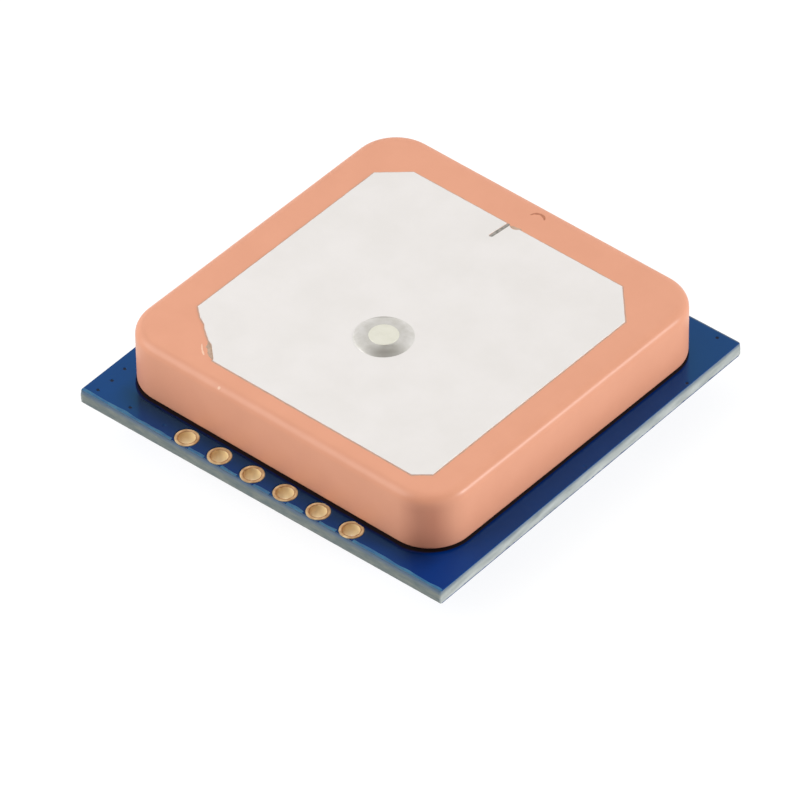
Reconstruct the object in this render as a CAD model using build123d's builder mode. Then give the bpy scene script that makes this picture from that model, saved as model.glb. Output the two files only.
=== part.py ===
from build123d import *
import os
from math import cos, radians, sin

os.makedirs("parts", exist_ok=True)

# A satellite positioning module: a square circuit board that carries a ceramic patch antenna on its
# top, six plated pin holes along its front edge and the receiver under a folded steel can below.
# Millimetres. X runs along the row of pin holes, Y from the holes to the back edge, Z up.
# The origin is under the middle of the board, level with the outside of the can's lid, its resting face.

# Board
board_width = 27.8
board_depth = 28.1
laminate_thickness = 0.9
mask_thickness = 0.05
copper_thickness = 0.05

# Row of plated pin holes along the front edge
pin_count = 6
pin_pitch = 2.54
pin_hole_diameter = 1.05
pin_rim_diameter = 1.5
pin_plating = 0.05
pin_edge_distance = 0.8
pin_row_shift = 0.14
mask_pullback = 0.04
mask_edge_pullback = 0.12

# Ceramic block of the antenna, which sits on the board with a slight turn
ceramic_side = 25.0
ceramic_height = 4.0
ceramic_corner_radius = 2.75
ceramic_top_rounding = 0.5
antenna_turn = -0.93
antenna_shift_x = -0.01
antenna_shift_y = 0.18
tape_thickness = 0.15
tape_margin = 0.4
silver_thickness = 0.05
ground_margin = 0.3

# Silver patch on the block, with its four trimmed corners as lengths along X and along Y
patch_width = 20.3
patch_depth = 20.65
patch_shift_x = 0.13
patch_shift_y = -0.62
back_left_trim = (1.8, 1.58)
back_right_trim = (2.16, 2.34)
front_right_trim = (0.93, 0.8)

# Scraped front left corner of the patch: points inward from the uncut corner along X and along Y
scraped_corner = [
    (0.0, 3.08),
    (0.72, 2.44),
    (1.34, 2.13),
    (1.66, 1.82),
    (2.48, 1.2),
    (2.86, 1.08),
    (3.82, 0.16),
    (3.9, 0.0),
]

# Tuning slot cut into the back edge of the patch
tuning_slot_width = 0.26
tuning_slot_length = 1.6
tuning_slot_x = -0.72
tuning_slot_lean = 5.0
tuning_slot_mouth = 0.9
tuning_slot_mouth_rise = 0.25

# Feed pin through the block and the board
feed_x = 0.24
feed_y = -2.86
feed_pin_diameter = 1.0
feed_hole_clearance = 0.1
feed_head_diameter = 1.85
feed_head_height = 0.2
feed_head_chamfer = 0.05
feed_tail_length = 1.0
feed_solder_diameter = 3.65
feed_solder_skirt = 0.3
feed_antipad_diameter = 2.6
feed_land_diameter = 2.4
feed_fillet_height = 0.65

# Folded steel can over the receiver, by its distances from the board's edges
can_side_distance = 3.4
can_front_distance = 8.05
can_back_distance = 1.75
can_height = 2.5
can_sheet = 0.2
can_bend = 0.45
can_corner_relief = 0.5
can_foot_length = 2.2
can_notch_height = 0.4
can_feet_along_x = 5
can_feet_along_y = 4
can_land_width = 1.0
can_solder_reach = 0.35

# Solder lands and the solder on them
land_reach = 0.3
land_clearance = 0.06
solder_climb = 0.6

# Small parts with two metal ends
small_length = 1.0
small_width = 0.5
small_height = 0.45
small_band = 0.22
large_length = 1.6
large_width = 0.8
large_height = 0.75
large_band = 0.3
end_metal = 0.03
part_spacing = 1.35
large_part_spacing = 2.0
inner_capacitor_count = 3

# Receiver chip, flat with contacts round its edge
receiver_side = 7.0
receiver_height = 0.85
receiver_stand = 0.05
receiver_contacts_per_side = 5
receiver_contact_pitch = 1.2
receiver_contact_width = 0.35
receiver_contact_length = 0.4
receiver_pad_side = 5.2
receiver_edge = 0.08

# Memory chip with bent leads on two sides
memory_length = 4.9
memory_width = 3.9
memory_height = 1.25
memory_span = 6.0
memory_leads_per_side = 4
memory_lead_pitch = 1.27
memory_lead_width = 0.4
memory_lead_sheet = 0.2
memory_foot = 0.5

# Supply regulator with bent leads on two sides
regulator_x = 1.4
regulator_length = 2.9
regulator_width = 1.6
regulator_height = 0.95
regulator_span = 2.8
regulator_lead_pitch = 0.95
regulator_lead_width = 0.38
regulator_lead_sheet = 0.14
regulator_foot = 0.3

# Moulded bodies in common
body_stand = 0.1
body_draft = 7.0

# Oscillator and clock crystal: ceramic bases with metal lids
oscillator_length = 3.2
oscillator_width = 2.5
crystal_length = 3.2
crystal_width = 1.5
lidded_base_height = 0.6
lidded_lid_height = 0.25
lidded_lid_margin = 0.18
lidded_corner = 0.2

# Filter and amplifier beside the feed pin
filter_length = 1.4
filter_width = 1.1
filter_height = 0.5
amplifier_length = 1.5
amplifier_width = 1.0
amplifier_height = 0.55
chip_corner = 0.06

# Backup cell between two flat tabs
cell_edge_distance = 5.56
cell_diameter = 4.8
cell_height = 1.4
cell_cap_diameter = 3.9
cell_cap_height = 0.25
cell_rim_chamfer = 0.2
tab_sheet = 0.12
tab_width = 1.4
tab_foot = 1.0
tab_gap = 0.35
tab_overlap = 1.0

# Indicator lamp
lamp_edge_distance = 2.7
lamp_length = 1.6
lamp_width = 0.8
lamp_base_height = 0.3
lamp_lens_length = 1.0
lamp_lens_height = 0.35
lamp_lens_draft = 12.0

# Clearances between parts on the underside
wall_gap = 0.8
column_gap = 1.2
feed_to_filter_gap = 0.5
strip_gap = 0.7

# Levels from the resting face upwards
underside = can_height
laminate_bottom = underside + mask_thickness
laminate_top = laminate_bottom + laminate_thickness
board_top = laminate_top + mask_thickness
tape_top = board_top + tape_thickness
ceramic_bottom = tape_top + silver_thickness
ceramic_top = ceramic_bottom + ceramic_height
patch_top = ceramic_top + silver_thickness

# Places worked out from the sizes above
front_edge = -board_depth / 2
left_edge = -board_width / 2
right_edge = board_width / 2
pin_row_y = front_edge + pin_edge_distance
pin_places = [
    (pin_row_shift + (i - (pin_count - 1) / 2) * pin_pitch, pin_row_y) for i in range(pin_count)
]
can_width = board_width - 2 * can_side_distance
can_depth = board_depth - can_front_distance - can_back_distance
can_front = front_edge + can_front_distance
can_y = can_front + can_depth / 2
can_inner_left = -can_width / 2 + can_sheet
can_inner_right = can_width / 2 - can_sheet
can_inner_front = can_front + can_sheet
can_inner_back = can_y + can_depth / 2 - can_sheet
strip_y = (pin_row_y + pin_rim_diameter / 2 + can_front - can_land_width / 2) / 2


def antenna_plane(height):
    """Plane of the turned antenna at a height above the resting face."""
    turn = radians(antenna_turn)
    return Plane(
        origin=(antenna_shift_x, antenna_shift_y, height),
        x_dir=(cos(turn), sin(turn), 0),
        z_dir=(0, 0, 1),
    )


feed_point = antenna_plane(0).from_local_coords(Vector(feed_x, feed_y, 0))
feed_place = (feed_point.X, feed_point.Y)
feed_hole_radius = feed_pin_diameter / 2 + feed_hole_clearance

# Places of the parts on the underside
receiver_x = can_inner_left + wall_gap + small_length + column_gap + receiver_side / 2
receiver_y = can_inner_back - wall_gap - receiver_side / 2
memory_x = can_inner_right - wall_gap - memory_span / 2
memory_y = can_inner_back - wall_gap - memory_length / 2
oscillator_x = can_inner_left + wall_gap + oscillator_length / 2
oscillator_y = can_inner_front + wall_gap + oscillator_width / 2
crystal_x = can_inner_right - wall_gap - crystal_width / 2
crystal_y = can_inner_front + wall_gap + crystal_length / 2
filter_x = feed_place[0] + feed_land_diameter / 2 + feed_to_filter_gap + filter_length / 2
amplifier_x = filter_x + (filter_length + amplifier_length) / 2 + wall_gap
cell_x = left_edge + cell_edge_distance
lamp_x = right_edge - lamp_edge_distance
input_capacitor_x = regulator_x - regulator_length / 2 - part_spacing
output_capacitor_x = regulator_x + regulator_length / 2 + part_spacing
supply_bead_x = output_capacitor_x + large_part_spacing
inner_capacitor_x = can_inner_left + wall_gap + small_length / 2
inner_capacitor_back = can_inner_back - wall_gap - small_width / 2
pin_row_back = pin_row_y + pin_rim_diameter / 2 + mask_pullback + strip_gap
small_capacitor_places = [
    (inner_capacitor_x, inner_capacitor_back - i * part_spacing, 0) for i in range(inner_capacitor_count)
]
large_capacitor_places = [(input_capacitor_x, strip_y, 90), (output_capacitor_x, strip_y, 90)]
supply_bead_place = (supply_bead_x, strip_y, 90)
matching_coil_place = (filter_x, feed_place[1] + part_spacing, 0)
strip_resistor_places = [
    (supply_bead_x + large_part_spacing, strip_y, 90),
    (lamp_x - part_spacing, strip_y, 90),
]
signal_pin_places = pin_places[pin_count // 2 - 1 : pin_count // 2 + 1]
pin_resistor_places = [(x, pin_row_back + small_width / 2, 0) for x, _ in signal_pin_places]
resistor_places = strip_resistor_places + pin_resistor_places


def placed(places, height):
    """Locations of parts on the underside, each turned about Z."""
    return [Location((x, y, height), (0, 0, turn)) for x, y, turn in places]


def both_ends(places):
    """The same places once as they are and once turned end for end."""
    return places + [(x, y, turn + 180) for x, y, turn in places]


# Board laminate
with BuildPart() as laminate:
    with BuildSketch(Plane.XY.offset(laminate_bottom)):
        Rectangle(board_width, board_depth)
        with Locations(*pin_places):
            Circle(pin_hole_diameter / 2 + pin_plating, mode=Mode.SUBTRACT)
        with Locations(feed_place):
            Circle(feed_hole_radius, mode=Mode.SUBTRACT)
    extrude(amount=laminate_thickness)
laminate.part.label = "laminate"
export_step(laminate.part, "parts/laminate.step")

# Plated pin holes: a barrel with a rim on each face of the board
with BuildPart() as plated_holes:
    with BuildSketch(Plane.XY.offset(laminate_bottom)):
        with Locations(*pin_places):
            Circle(pin_hole_diameter / 2 + pin_plating)
    extrude(amount=laminate_thickness)
    with BuildSketch(Plane.XY.offset(laminate_bottom - copper_thickness)):
        with Locations(*pin_places):
            Circle(pin_rim_diameter / 2)
    extrude(amount=copper_thickness)
    with BuildSketch(Plane.XY.offset(laminate_top)):
        with Locations(*pin_places):
            Circle(pin_rim_diameter / 2)
    extrude(amount=copper_thickness)
    with BuildSketch(Plane.XY.offset(laminate_bottom - copper_thickness)):
        with Locations(*pin_places):
            Circle(pin_hole_diameter / 2)
    extrude(amount=laminate_thickness + 2 * copper_thickness, mode=Mode.SUBTRACT)
plated_holes.part.label = "plated_holes"
export_step(plated_holes.part, "parts/plated_holes.step")

# Top solder mask, opened over the pin holes and the feed pin, and drawn back from the front and back edges
with BuildPart() as solder_mask_top:
    with BuildSketch(Plane.XY.offset(laminate_top)):
        Rectangle(board_width, board_depth - 2 * mask_edge_pullback)
        with Locations(*pin_places):
            Circle(pin_rim_diameter / 2 + mask_pullback, mode=Mode.SUBTRACT)
        with Locations(feed_place):
            Circle(feed_hole_radius, mode=Mode.SUBTRACT)
    extrude(amount=mask_thickness)
solder_mask_top.part.label = "solder_mask_top"
export_step(solder_mask_top.part, "parts/solder_mask_top.step")

# Double-sided tape under the antenna, with cut corners
with BuildPart() as adhesive_tape:
    with BuildSketch(antenna_plane(board_top)) as adhesive_tape_outline:
        Rectangle(ceramic_side - 2 * tape_margin, ceramic_side - 2 * tape_margin)
        chamfer(adhesive_tape_outline.vertices(), length=ceramic_corner_radius)
        with Locations((feed_x, feed_y)):
            Circle(feed_antipad_diameter / 2, mode=Mode.SUBTRACT)
    extrude(amount=tape_thickness)
adhesive_tape.part.label = "adhesive_tape"
export_step(adhesive_tape.part, "parts/adhesive_tape.step")

# Silver ground layer fired onto the block's underside, open round the feed pin
with BuildPart() as antenna_ground_electrode:
    with BuildSketch(antenna_plane(tape_top)) as ground_outline:
        Rectangle(ceramic_side - 2 * ground_margin, ceramic_side - 2 * ground_margin)
        chamfer(ground_outline.vertices(), length=ceramic_corner_radius)
        with Locations((feed_x, feed_y)):
            Circle(feed_antipad_diameter / 2, mode=Mode.SUBTRACT)
    extrude(amount=silver_thickness)
antenna_ground_electrode.part.label = "antenna_ground_electrode"
export_step(antenna_ground_electrode.part, "parts/antenna_ground_electrode.step")

# Ceramic block with rounded upright corners and a rounded top edge
with BuildPart() as antenna_ceramic:
    with BuildSketch(antenna_plane(ceramic_bottom)):
        RectangleRounded(ceramic_side, ceramic_side, ceramic_corner_radius)
    extrude(amount=ceramic_height)
    fillet(antenna_ceramic.faces().sort_by(Axis.Z)[-1].edges(), radius=ceramic_top_rounding)
    with BuildSketch(antenna_plane(ceramic_bottom)):
        with Locations((feed_x, feed_y)):
            Circle(feed_hole_radius)
    extrude(amount=ceramic_height, mode=Mode.SUBTRACT)
antenna_ceramic.part.label = "antenna_ceramic"
export_step(antenna_ceramic.part, "parts/antenna_ceramic.step")

# Silver patch: a rectangle with trimmed corners, one of them scraped away unevenly, and a slot
patch_left = patch_shift_x - patch_width / 2
patch_right = patch_shift_x + patch_width / 2
patch_front = patch_shift_y - patch_depth / 2
patch_back = patch_shift_y + patch_depth / 2
patch_outline = [(patch_left + across, patch_front + along) for across, along in scraped_corner] + [
    (patch_right - front_right_trim[0], patch_front),
    (patch_right, patch_front + front_right_trim[1]),
    (patch_right, patch_back - back_right_trim[1]),
    (patch_right - back_right_trim[0], patch_back),
    (patch_left + back_left_trim[0], patch_back),
    (patch_left, patch_back - back_left_trim[1]),
]
with BuildPart() as antenna_electrode:
    with BuildSketch(antenna_plane(ceramic_top)):
        with BuildLine():
            Polyline(*patch_outline, close=True)
        make_face()
        with Locations(Location((tuning_slot_x, patch_back), (0, 0, 90 - tuning_slot_lean))):
            SlotOverall(2 * tuning_slot_length, tuning_slot_width, mode=Mode.SUBTRACT)
        with Locations((tuning_slot_x + tuning_slot_mouth / 2, patch_back + tuning_slot_mouth_rise)):
            Circle(tuning_slot_mouth / 2, mode=Mode.SUBTRACT)
        with Locations((feed_x, feed_y)):
            Circle(feed_hole_radius, mode=Mode.SUBTRACT)
    extrude(amount=silver_thickness)
antenna_electrode.part.label = "antenna_electrode"
export_step(antenna_electrode.part, "parts/antenna_electrode.step")

# Feed pin, a nail whose head lies on the patch and whose tail comes out under the board
tail_end = underside - feed_tail_length
with BuildPart(Plane(feed_point)) as feed_pin:
    with Locations((0, 0, tail_end)):
        Cylinder(
            feed_pin_diameter / 2,
            patch_top - tail_end,
            align=(Align.CENTER, Align.CENTER, Align.MIN),
        )
    with Locations((0, 0, patch_top)):
        Cylinder(
            feed_head_diameter / 2,
            feed_head_height,
            align=(Align.CENTER, Align.CENTER, Align.MIN),
        )
    chamfer(feed_pin.edges().sort_by(Axis.Z)[-1], length=feed_head_chamfer)
feed_pin.part.label = "feed_pin"
export_step(feed_pin.part, "parts/feed_pin.step")

# Low dome of solder round the pin's head, steeper at its skirt
head_radius = feed_head_diameter / 2
dome_radius = feed_solder_diameter / 2
dome_height = feed_head_height - feed_head_chamfer
with BuildPart(Plane(feed_point)) as feed_solder_top:
    with BuildSketch(Plane(origin=feed_point, z_dir=(0, -1, 0), x_dir=(1, 0, 0))):
        with BuildLine():
            Polyline(
                (head_radius, patch_top),
                (dome_radius, patch_top),
                (dome_radius - feed_solder_skirt, patch_top + dome_height / 2),
                (head_radius, patch_top + dome_height),
                close=True,
            )
        make_face()
    revolve(axis=Axis(feed_point, (0, 0, 1)))
feed_solder_top.part.label = "feed_solder_top"
export_step(feed_solder_top.part, "parts/feed_solder_top.step")

# Cone of solder round the pin's tail
with BuildPart() as feed_solder_bottom:
    with BuildSketch(Plane(origin=feed_point, z_dir=(0, -1, 0), x_dir=(1, 0, 0))):
        with BuildLine():
            Polyline(
                (feed_pin_diameter / 2, underside),
                (feed_land_diameter / 2, underside),
                (feed_pin_diameter / 2, underside - feed_fillet_height),
                close=True,
            )
        make_face()
    revolve(axis=Axis(feed_point, (0, 0, 1)))
feed_solder_bottom.part.label = "feed_solder_bottom"
export_step(feed_solder_bottom.part, "parts/feed_solder_bottom.step")

# Folded can: a lid with four walls bent up to the board, open at the corners and standing on feet
foot_pitch_x = (can_width - 2 * can_corner_relief - can_foot_length) / (can_feet_along_x - 1)
foot_pitch_y = (can_depth - 2 * can_corner_relief - can_foot_length) / (can_feet_along_y - 1)
with BuildPart() as shield_can:
    with Locations((0, can_y, 0)):
        Box(can_width, can_depth, can_height, align=(Align.CENTER, Align.CENTER, Align.MIN))
    fillet(shield_can.edges().group_by(Axis.Z)[0], radius=can_bend)
    offset(amount=-can_sheet, openings=shield_can.faces().sort_by(Axis.Z)[-1])
    with Locations((0, can_y, 0)):
        with GridLocations(can_width, can_depth, 2, 2):
            Box(
                2 * can_corner_relief,
                2 * can_corner_relief,
                2 * can_height,
                align=(Align.CENTER, Align.CENTER, Align.CENTER),
                mode=Mode.SUBTRACT,
            )
    with Locations((0, can_y, underside)):
        with GridLocations(foot_pitch_x, 1, can_feet_along_x - 1, 1):
            Box(
                foot_pitch_x - can_foot_length,
                2 * can_depth,
                2 * can_notch_height,
                mode=Mode.SUBTRACT,
            )
        with GridLocations(1, foot_pitch_y, 1, can_feet_along_y - 1):
            Box(
                2 * can_width,
                foot_pitch_y - can_foot_length,
                2 * can_notch_height,
                mode=Mode.SUBTRACT,
            )
shield_can.part.label = "shield_can"
export_step(shield_can.part, "parts/shield_can.step")


def wedge_of_solder(start, reach, climb, width):
    """A fillet of solder from the end of a part at X = start down to its land."""
    with BuildPart() as wedge:
        with BuildSketch(Plane.XZ):
            with BuildLine():
                Polyline((start, 0), (start + reach, 0), (start, -climb), close=True)
            make_face()
        extrude(amount=width / 2, both=True)
    return wedge


# Solder at each foot of the can
foot_wedge = wedge_of_solder(0, can_solder_reach, can_solder_reach, can_foot_length)
with BuildPart() as shield_solder:
    for side in (-1, 1):
        with Locations((0, can_y + side * can_depth / 2, underside)):
            with GridLocations(foot_pitch_x, 1, can_feet_along_x, 1):
                add(foot_wedge.part, rotation=(0, 0, side * 90))
        with Locations((side * can_width / 2, can_y, underside)):
            with GridLocations(1, foot_pitch_y, 1, can_feet_along_y):
                add(foot_wedge.part, rotation=(0, 0, 90 - side * 90))
shield_solder.part.label = "shield_solder"
export_step(shield_solder.part, "parts/shield_solder.step")


def two_ended_bodies(length, width, height, places):
    """Bodies of parts with two metal ends, held off the board by the metal's thickness."""
    with BuildPart() as bodies:
        with Locations(*placed(places, underside - end_metal)):
            Box(
                length - 2 * end_metal,
                width - 2 * end_metal,
                height - 2 * end_metal,
                align=(Align.CENTER, Align.CENTER, Align.MAX),
            )
    return bodies


def two_ended_metal(length, width, height, band, places):
    """Metal caps that wrap both ends of such parts."""
    with BuildPart() as caps:
        for location in placed(both_ends(places), underside):
            with Locations(location):
                with Locations((length / 2 - band / 2, 0, 0)):
                    Box(band, width, height, align=(Align.CENTER, Align.CENTER, Align.MAX))
        with Locations(*placed(places, underside - end_metal)):
            Box(
                length - 2 * end_metal,
                width - 2 * end_metal,
                height - 2 * end_metal,
                align=(Align.CENTER, Align.CENTER, Align.MAX),
                mode=Mode.SUBTRACT,
            )
    return caps


# Capacitors in two sizes
small_capacitor_bodies = two_ended_bodies(
    small_length, small_width, small_height, small_capacitor_places
)
large_capacitor_bodies = two_ended_bodies(
    large_length, large_width, large_height, large_capacitor_places
)
with BuildPart() as capacitor_bodies:
    add(small_capacitor_bodies.part)
    add(large_capacitor_bodies.part)
capacitor_bodies.part.label = "capacitor_bodies"
export_step(capacitor_bodies.part, "parts/capacitor_bodies.step")

small_capacitor_ends = two_ended_metal(
    small_length, small_width, small_height, small_band, small_capacitor_places
)
large_capacitor_ends = two_ended_metal(
    large_length, large_width, large_height, large_band, large_capacitor_places
)
with BuildPart() as capacitor_ends:
    add(small_capacitor_ends.part)
    add(large_capacitor_ends.part)
capacitor_ends.part.label = "capacitor_ends"
export_step(capacitor_ends.part, "parts/capacitor_ends.step")

# Resistors
resistor_bodies = two_ended_bodies(small_length, small_width, small_height, resistor_places)
resistor_bodies.part.label = "resistor_bodies"
export_step(resistor_bodies.part, "parts/resistor_bodies.step")

resistor_ends = two_ended_metal(small_length, small_width, small_height, small_band, resistor_places)
resistor_ends.part.label = "resistor_ends"
export_step(resistor_ends.part, "parts/resistor_ends.step")

# Supply bead and matching coil
bead_body = two_ended_bodies(large_length, large_width, large_height, [supply_bead_place])
coil_body = two_ended_bodies(small_length, small_width, small_height, [matching_coil_place])
with BuildPart() as inductor_bodies:
    add(bead_body.part)
    add(coil_body.part)
inductor_bodies.part.label = "inductor_bodies"
export_step(inductor_bodies.part, "parts/inductor_bodies.step")

bead_ends = two_ended_metal(large_length, large_width, large_height, large_band, [supply_bead_place])
coil_ends = two_ended_metal(small_length, small_width, small_height, small_band, [matching_coil_place])
with BuildPart() as inductor_ends:
    add(bead_ends.part)
    add(coil_ends.part)
inductor_ends.part.label = "inductor_ends"
export_step(inductor_ends.part, "parts/inductor_ends.step")

# Receiver chip
with BuildPart() as receiver_chip:
    with Locations((receiver_x, receiver_y, underside - receiver_stand)):
        Box(
            receiver_side,
            receiver_side,
            receiver_height - receiver_stand,
            align=(Align.CENTER, Align.CENTER, Align.MAX),
        )
    chamfer(receiver_chip.edges().group_by(Axis.Z)[0], length=receiver_edge)
receiver_chip.part.label = "receiver_chip"
export_step(receiver_chip.part, "parts/receiver_chip.step")

# Contacts round the receiver's edge and the ground pad in its middle
contact_reach = receiver_side / 2 - receiver_contact_length / 2
with BuildPart() as receiver_contacts:
    with Locations((receiver_x, receiver_y, underside)):
        Box(
            receiver_pad_side,
            receiver_pad_side,
            receiver_stand,
            align=(Align.CENTER, Align.CENTER, Align.MAX),
        )
        with GridLocations(2 * contact_reach, receiver_contact_pitch, 2, receiver_contacts_per_side):
            Box(
                receiver_contact_length,
                receiver_contact_width,
                receiver_stand,
                align=(Align.CENTER, Align.CENTER, Align.MAX),
            )
        with GridLocations(receiver_contact_pitch, 2 * contact_reach, receiver_contacts_per_side, 2):
            Box(
                receiver_contact_width,
                receiver_contact_length,
                receiver_stand,
                align=(Align.CENTER, Align.CENTER, Align.MAX),
            )
receiver_contacts.part.label = "receiver_contacts"
export_step(receiver_contacts.part, "parts/receiver_contacts.step")


def moulded_body(x, y, length_x, length_y, height):
    """A moulded chip body whose walls lean in towards both faces from its parting line."""
    middle = underside - body_stand - (height - body_stand) / 2
    with BuildPart() as body:
        with BuildSketch(Plane.XY.offset(middle)):
            with Locations((x, y)):
                Rectangle(length_x, length_y)
        extrude(amount=(height - body_stand) / 2, taper=body_draft, both=True)
    return body


def bent_lead(body_width, span, height, sheet, foot, lead_width):
    """A lead that leaves a body's side at mid height and bends to a foot on the board."""
    rise = (height + body_stand) / 2
    run = (span - body_width) / 2
    knee = max(run - foot, sheet)
    with BuildPart() as lead:
        with BuildSketch(Plane.XZ):
            with BuildLine():
                Polyline(
                    (-run, -rise),
                    (-run + knee - sheet / 2, -rise),
                    (-run + knee + sheet / 2, -sheet / 2),
                    (0, -sheet / 2),
                )
            trace(line_width=sheet)
            with Locations((-run, -rise)):
                Rectangle(sheet, 2 * sheet, align=(Align.MAX, Align.CENTER), mode=Mode.SUBTRACT)
            Rectangle(sheet, 2 * sheet, align=(Align.MIN, Align.CENTER), mode=Mode.SUBTRACT)
        extrude(amount=lead_width / 2, both=True)
    return lead


# Memory chip
memory_chip = moulded_body(memory_x, memory_y, memory_width, memory_length, memory_height)
memory_chip.part.label = "memory_chip"
export_step(memory_chip.part, "parts/memory_chip.step")

memory_lead = bent_lead(
    memory_width, memory_span, memory_height, memory_lead_sheet, memory_foot, memory_lead_width
)
memory_lead_rows = [i - (memory_leads_per_side - 1) / 2 for i in range(memory_leads_per_side)]
memory_lead_places = [
    (memory_x + side * memory_span / 2, memory_y + row * memory_lead_pitch, 90 - 90 * side)
    for side in (-1, 1)
    for row in memory_lead_rows
]
with BuildPart() as memory_leads:
    with Locations(*placed(memory_lead_places, underside)):
        add(memory_lead.part)
memory_leads.part.label = "memory_leads"
export_step(memory_leads.part, "parts/memory_leads.step")

# Supply regulator, with three leads on the side of the pins and two on the side of the can
regulator = moulded_body(regulator_x, strip_y, regulator_length, regulator_width, regulator_height)
regulator.part.label = "regulator"
export_step(regulator.part, "parts/regulator.step")

regulator_lead = bent_lead(
    regulator_width,
    regulator_span,
    regulator_height,
    regulator_lead_sheet,
    regulator_foot,
    regulator_lead_width,
)
regulator_lead_places = [
    (regulator_x + row * regulator_lead_pitch, strip_y + side * regulator_span / 2, 90 * side)
    for side, rows in ((-1, (-1, 0, 1)), (1, (-1, 1)))
    for row in rows
]
with BuildPart() as regulator_leads:
    with Locations(*placed(regulator_lead_places, underside)):
        add(regulator_lead.part)
regulator_leads.part.label = "regulator_leads"
export_step(regulator_leads.part, "parts/regulator_leads.step")


def lidded_base(x, y, length_x, length_y):
    """Ceramic base of an oscillator or crystal."""
    with BuildPart() as base:
        with BuildSketch(Plane.XY.offset(underside)):
            with Locations((x, y)):
                Rectangle(length_x, length_y)
        extrude(amount=-lidded_base_height)
    return base


def lidded_lid(x, y, length_x, length_y):
    """Metal lid brazed onto such a base, with cut upright corners."""
    with BuildPart() as lid:
        with BuildSketch(Plane.XY.offset(underside - lidded_base_height)):
            with Locations((x, y)):
                Rectangle(length_x - 2 * lidded_lid_margin, length_y - 2 * lidded_lid_margin)
        extrude(amount=-lidded_lid_height)
        chamfer(lid.edges().filter_by(Axis.Z), length=lidded_corner)
    return lid


# Reference oscillator
oscillator_base = lidded_base(oscillator_x, oscillator_y, oscillator_length, oscillator_width)
oscillator_base.part.label = "oscillator_base"
export_step(oscillator_base.part, "parts/oscillator_base.step")

oscillator_lid = lidded_lid(oscillator_x, oscillator_y, oscillator_length, oscillator_width)
oscillator_lid.part.label = "oscillator_lid"
export_step(oscillator_lid.part, "parts/oscillator_lid.step")

# Clock crystal
clock_crystal_base = lidded_base(crystal_x, crystal_y, crystal_width, crystal_length)
clock_crystal_base.part.label = "clock_crystal_base"
export_step(clock_crystal_base.part, "parts/clock_crystal_base.step")

clock_crystal_lid = lidded_lid(crystal_x, crystal_y, crystal_width, crystal_length)
clock_crystal_lid.part.label = "clock_crystal_lid"
export_step(clock_crystal_lid.part, "parts/clock_crystal_lid.step")

# Filter between the feed pin and the amplifier
with BuildPart() as band_filter:
    with Locations((filter_x, feed_place[1], underside)):
        Box(filter_length, filter_width, filter_height, align=(Align.CENTER, Align.CENTER, Align.MAX))
    chamfer(band_filter.edges().group_by(Axis.Z)[0], length=chip_corner)
band_filter.part.label = "band_filter"
export_step(band_filter.part, "parts/band_filter.step")

# First amplifier
with BuildPart() as low_noise_amplifier:
    with Locations((amplifier_x, feed_place[1], underside)):
        Box(
            amplifier_length,
            amplifier_width,
            amplifier_height,
            align=(Align.CENTER, Align.CENTER, Align.MAX),
        )
    chamfer(low_noise_amplifier.edges().group_by(Axis.Z)[0], length=chip_corner)
low_noise_amplifier.part.label = "low_noise_amplifier"
export_step(low_noise_amplifier.part, "parts/low_noise_amplifier.step")

# Backup cell: a flat can with a narrower cap on the side away from the board
cell_top = underside - tab_sheet
cell_bottom = cell_top - cell_height
cell_can_bottom = cell_bottom + cell_cap_height
with BuildPart() as backup_cell:
    with BuildSketch(Plane.XY.offset(cell_top)):
        with Locations((cell_x, strip_y)):
            Circle(cell_diameter / 2)
    extrude(amount=-(cell_height - cell_cap_height))
    chamfer(backup_cell.edges().sort_by(Axis.Z)[0], length=cell_rim_chamfer)
    with BuildSketch(Plane.XY.offset(cell_can_bottom)):
        with Locations((cell_x, strip_y)):
            Circle(cell_cap_diameter / 2)
    extrude(amount=-cell_cap_height)
backup_cell.part.label = "backup_cell"
export_step(backup_cell.part, "parts/backup_cell.step")

# Welded tabs: one flat between cell and board, one over the cap that steps down to its land
tab_end_x = cell_x + cell_diameter / 2 + tab_gap
with BuildPart() as backup_cell_tabs:
    with Locations((cell_x, strip_y, underside)):
        Box(
            cell_diameter / 2 + tab_foot,
            tab_width,
            tab_sheet,
            align=(Align.MAX, Align.CENTER, Align.MAX),
        )
    with BuildSketch(Plane.XZ.offset(-strip_y)):
        with BuildLine():
            Polyline(
                (cell_x - tab_overlap, cell_bottom - tab_sheet / 2),
                (tab_end_x, cell_bottom - tab_sheet / 2),
                (tab_end_x, underside - tab_sheet / 2),
                (tab_end_x + tab_foot, underside - tab_sheet / 2),
            )
        trace(line_width=tab_sheet)
    extrude(amount=tab_width / 2, both=True)
backup_cell_tabs.part.label = "backup_cell_tabs"
export_step(backup_cell_tabs.part, "parts/backup_cell_tabs.step")

# Indicator lamp: a small base with a clear lens
with BuildPart() as status_lamp_base:
    with Locations((lamp_x, strip_y, underside)):
        Box(lamp_width, lamp_length, lamp_base_height, align=(Align.CENTER, Align.CENTER, Align.MAX))
status_lamp_base.part.label = "status_lamp_base"
export_step(status_lamp_base.part, "parts/status_lamp_base.step")

with BuildPart() as status_lamp_lens:
    with BuildSketch(Plane.XY.offset(underside - lamp_base_height)):
        with Locations((lamp_x, strip_y)):
            Rectangle(lamp_width, lamp_lens_length)
    extrude(amount=-lamp_lens_height, taper=lamp_lens_draft)
status_lamp_lens.part.label = "status_lamp_lens"
export_step(status_lamp_lens.part, "parts/status_lamp_lens.step")

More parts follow.
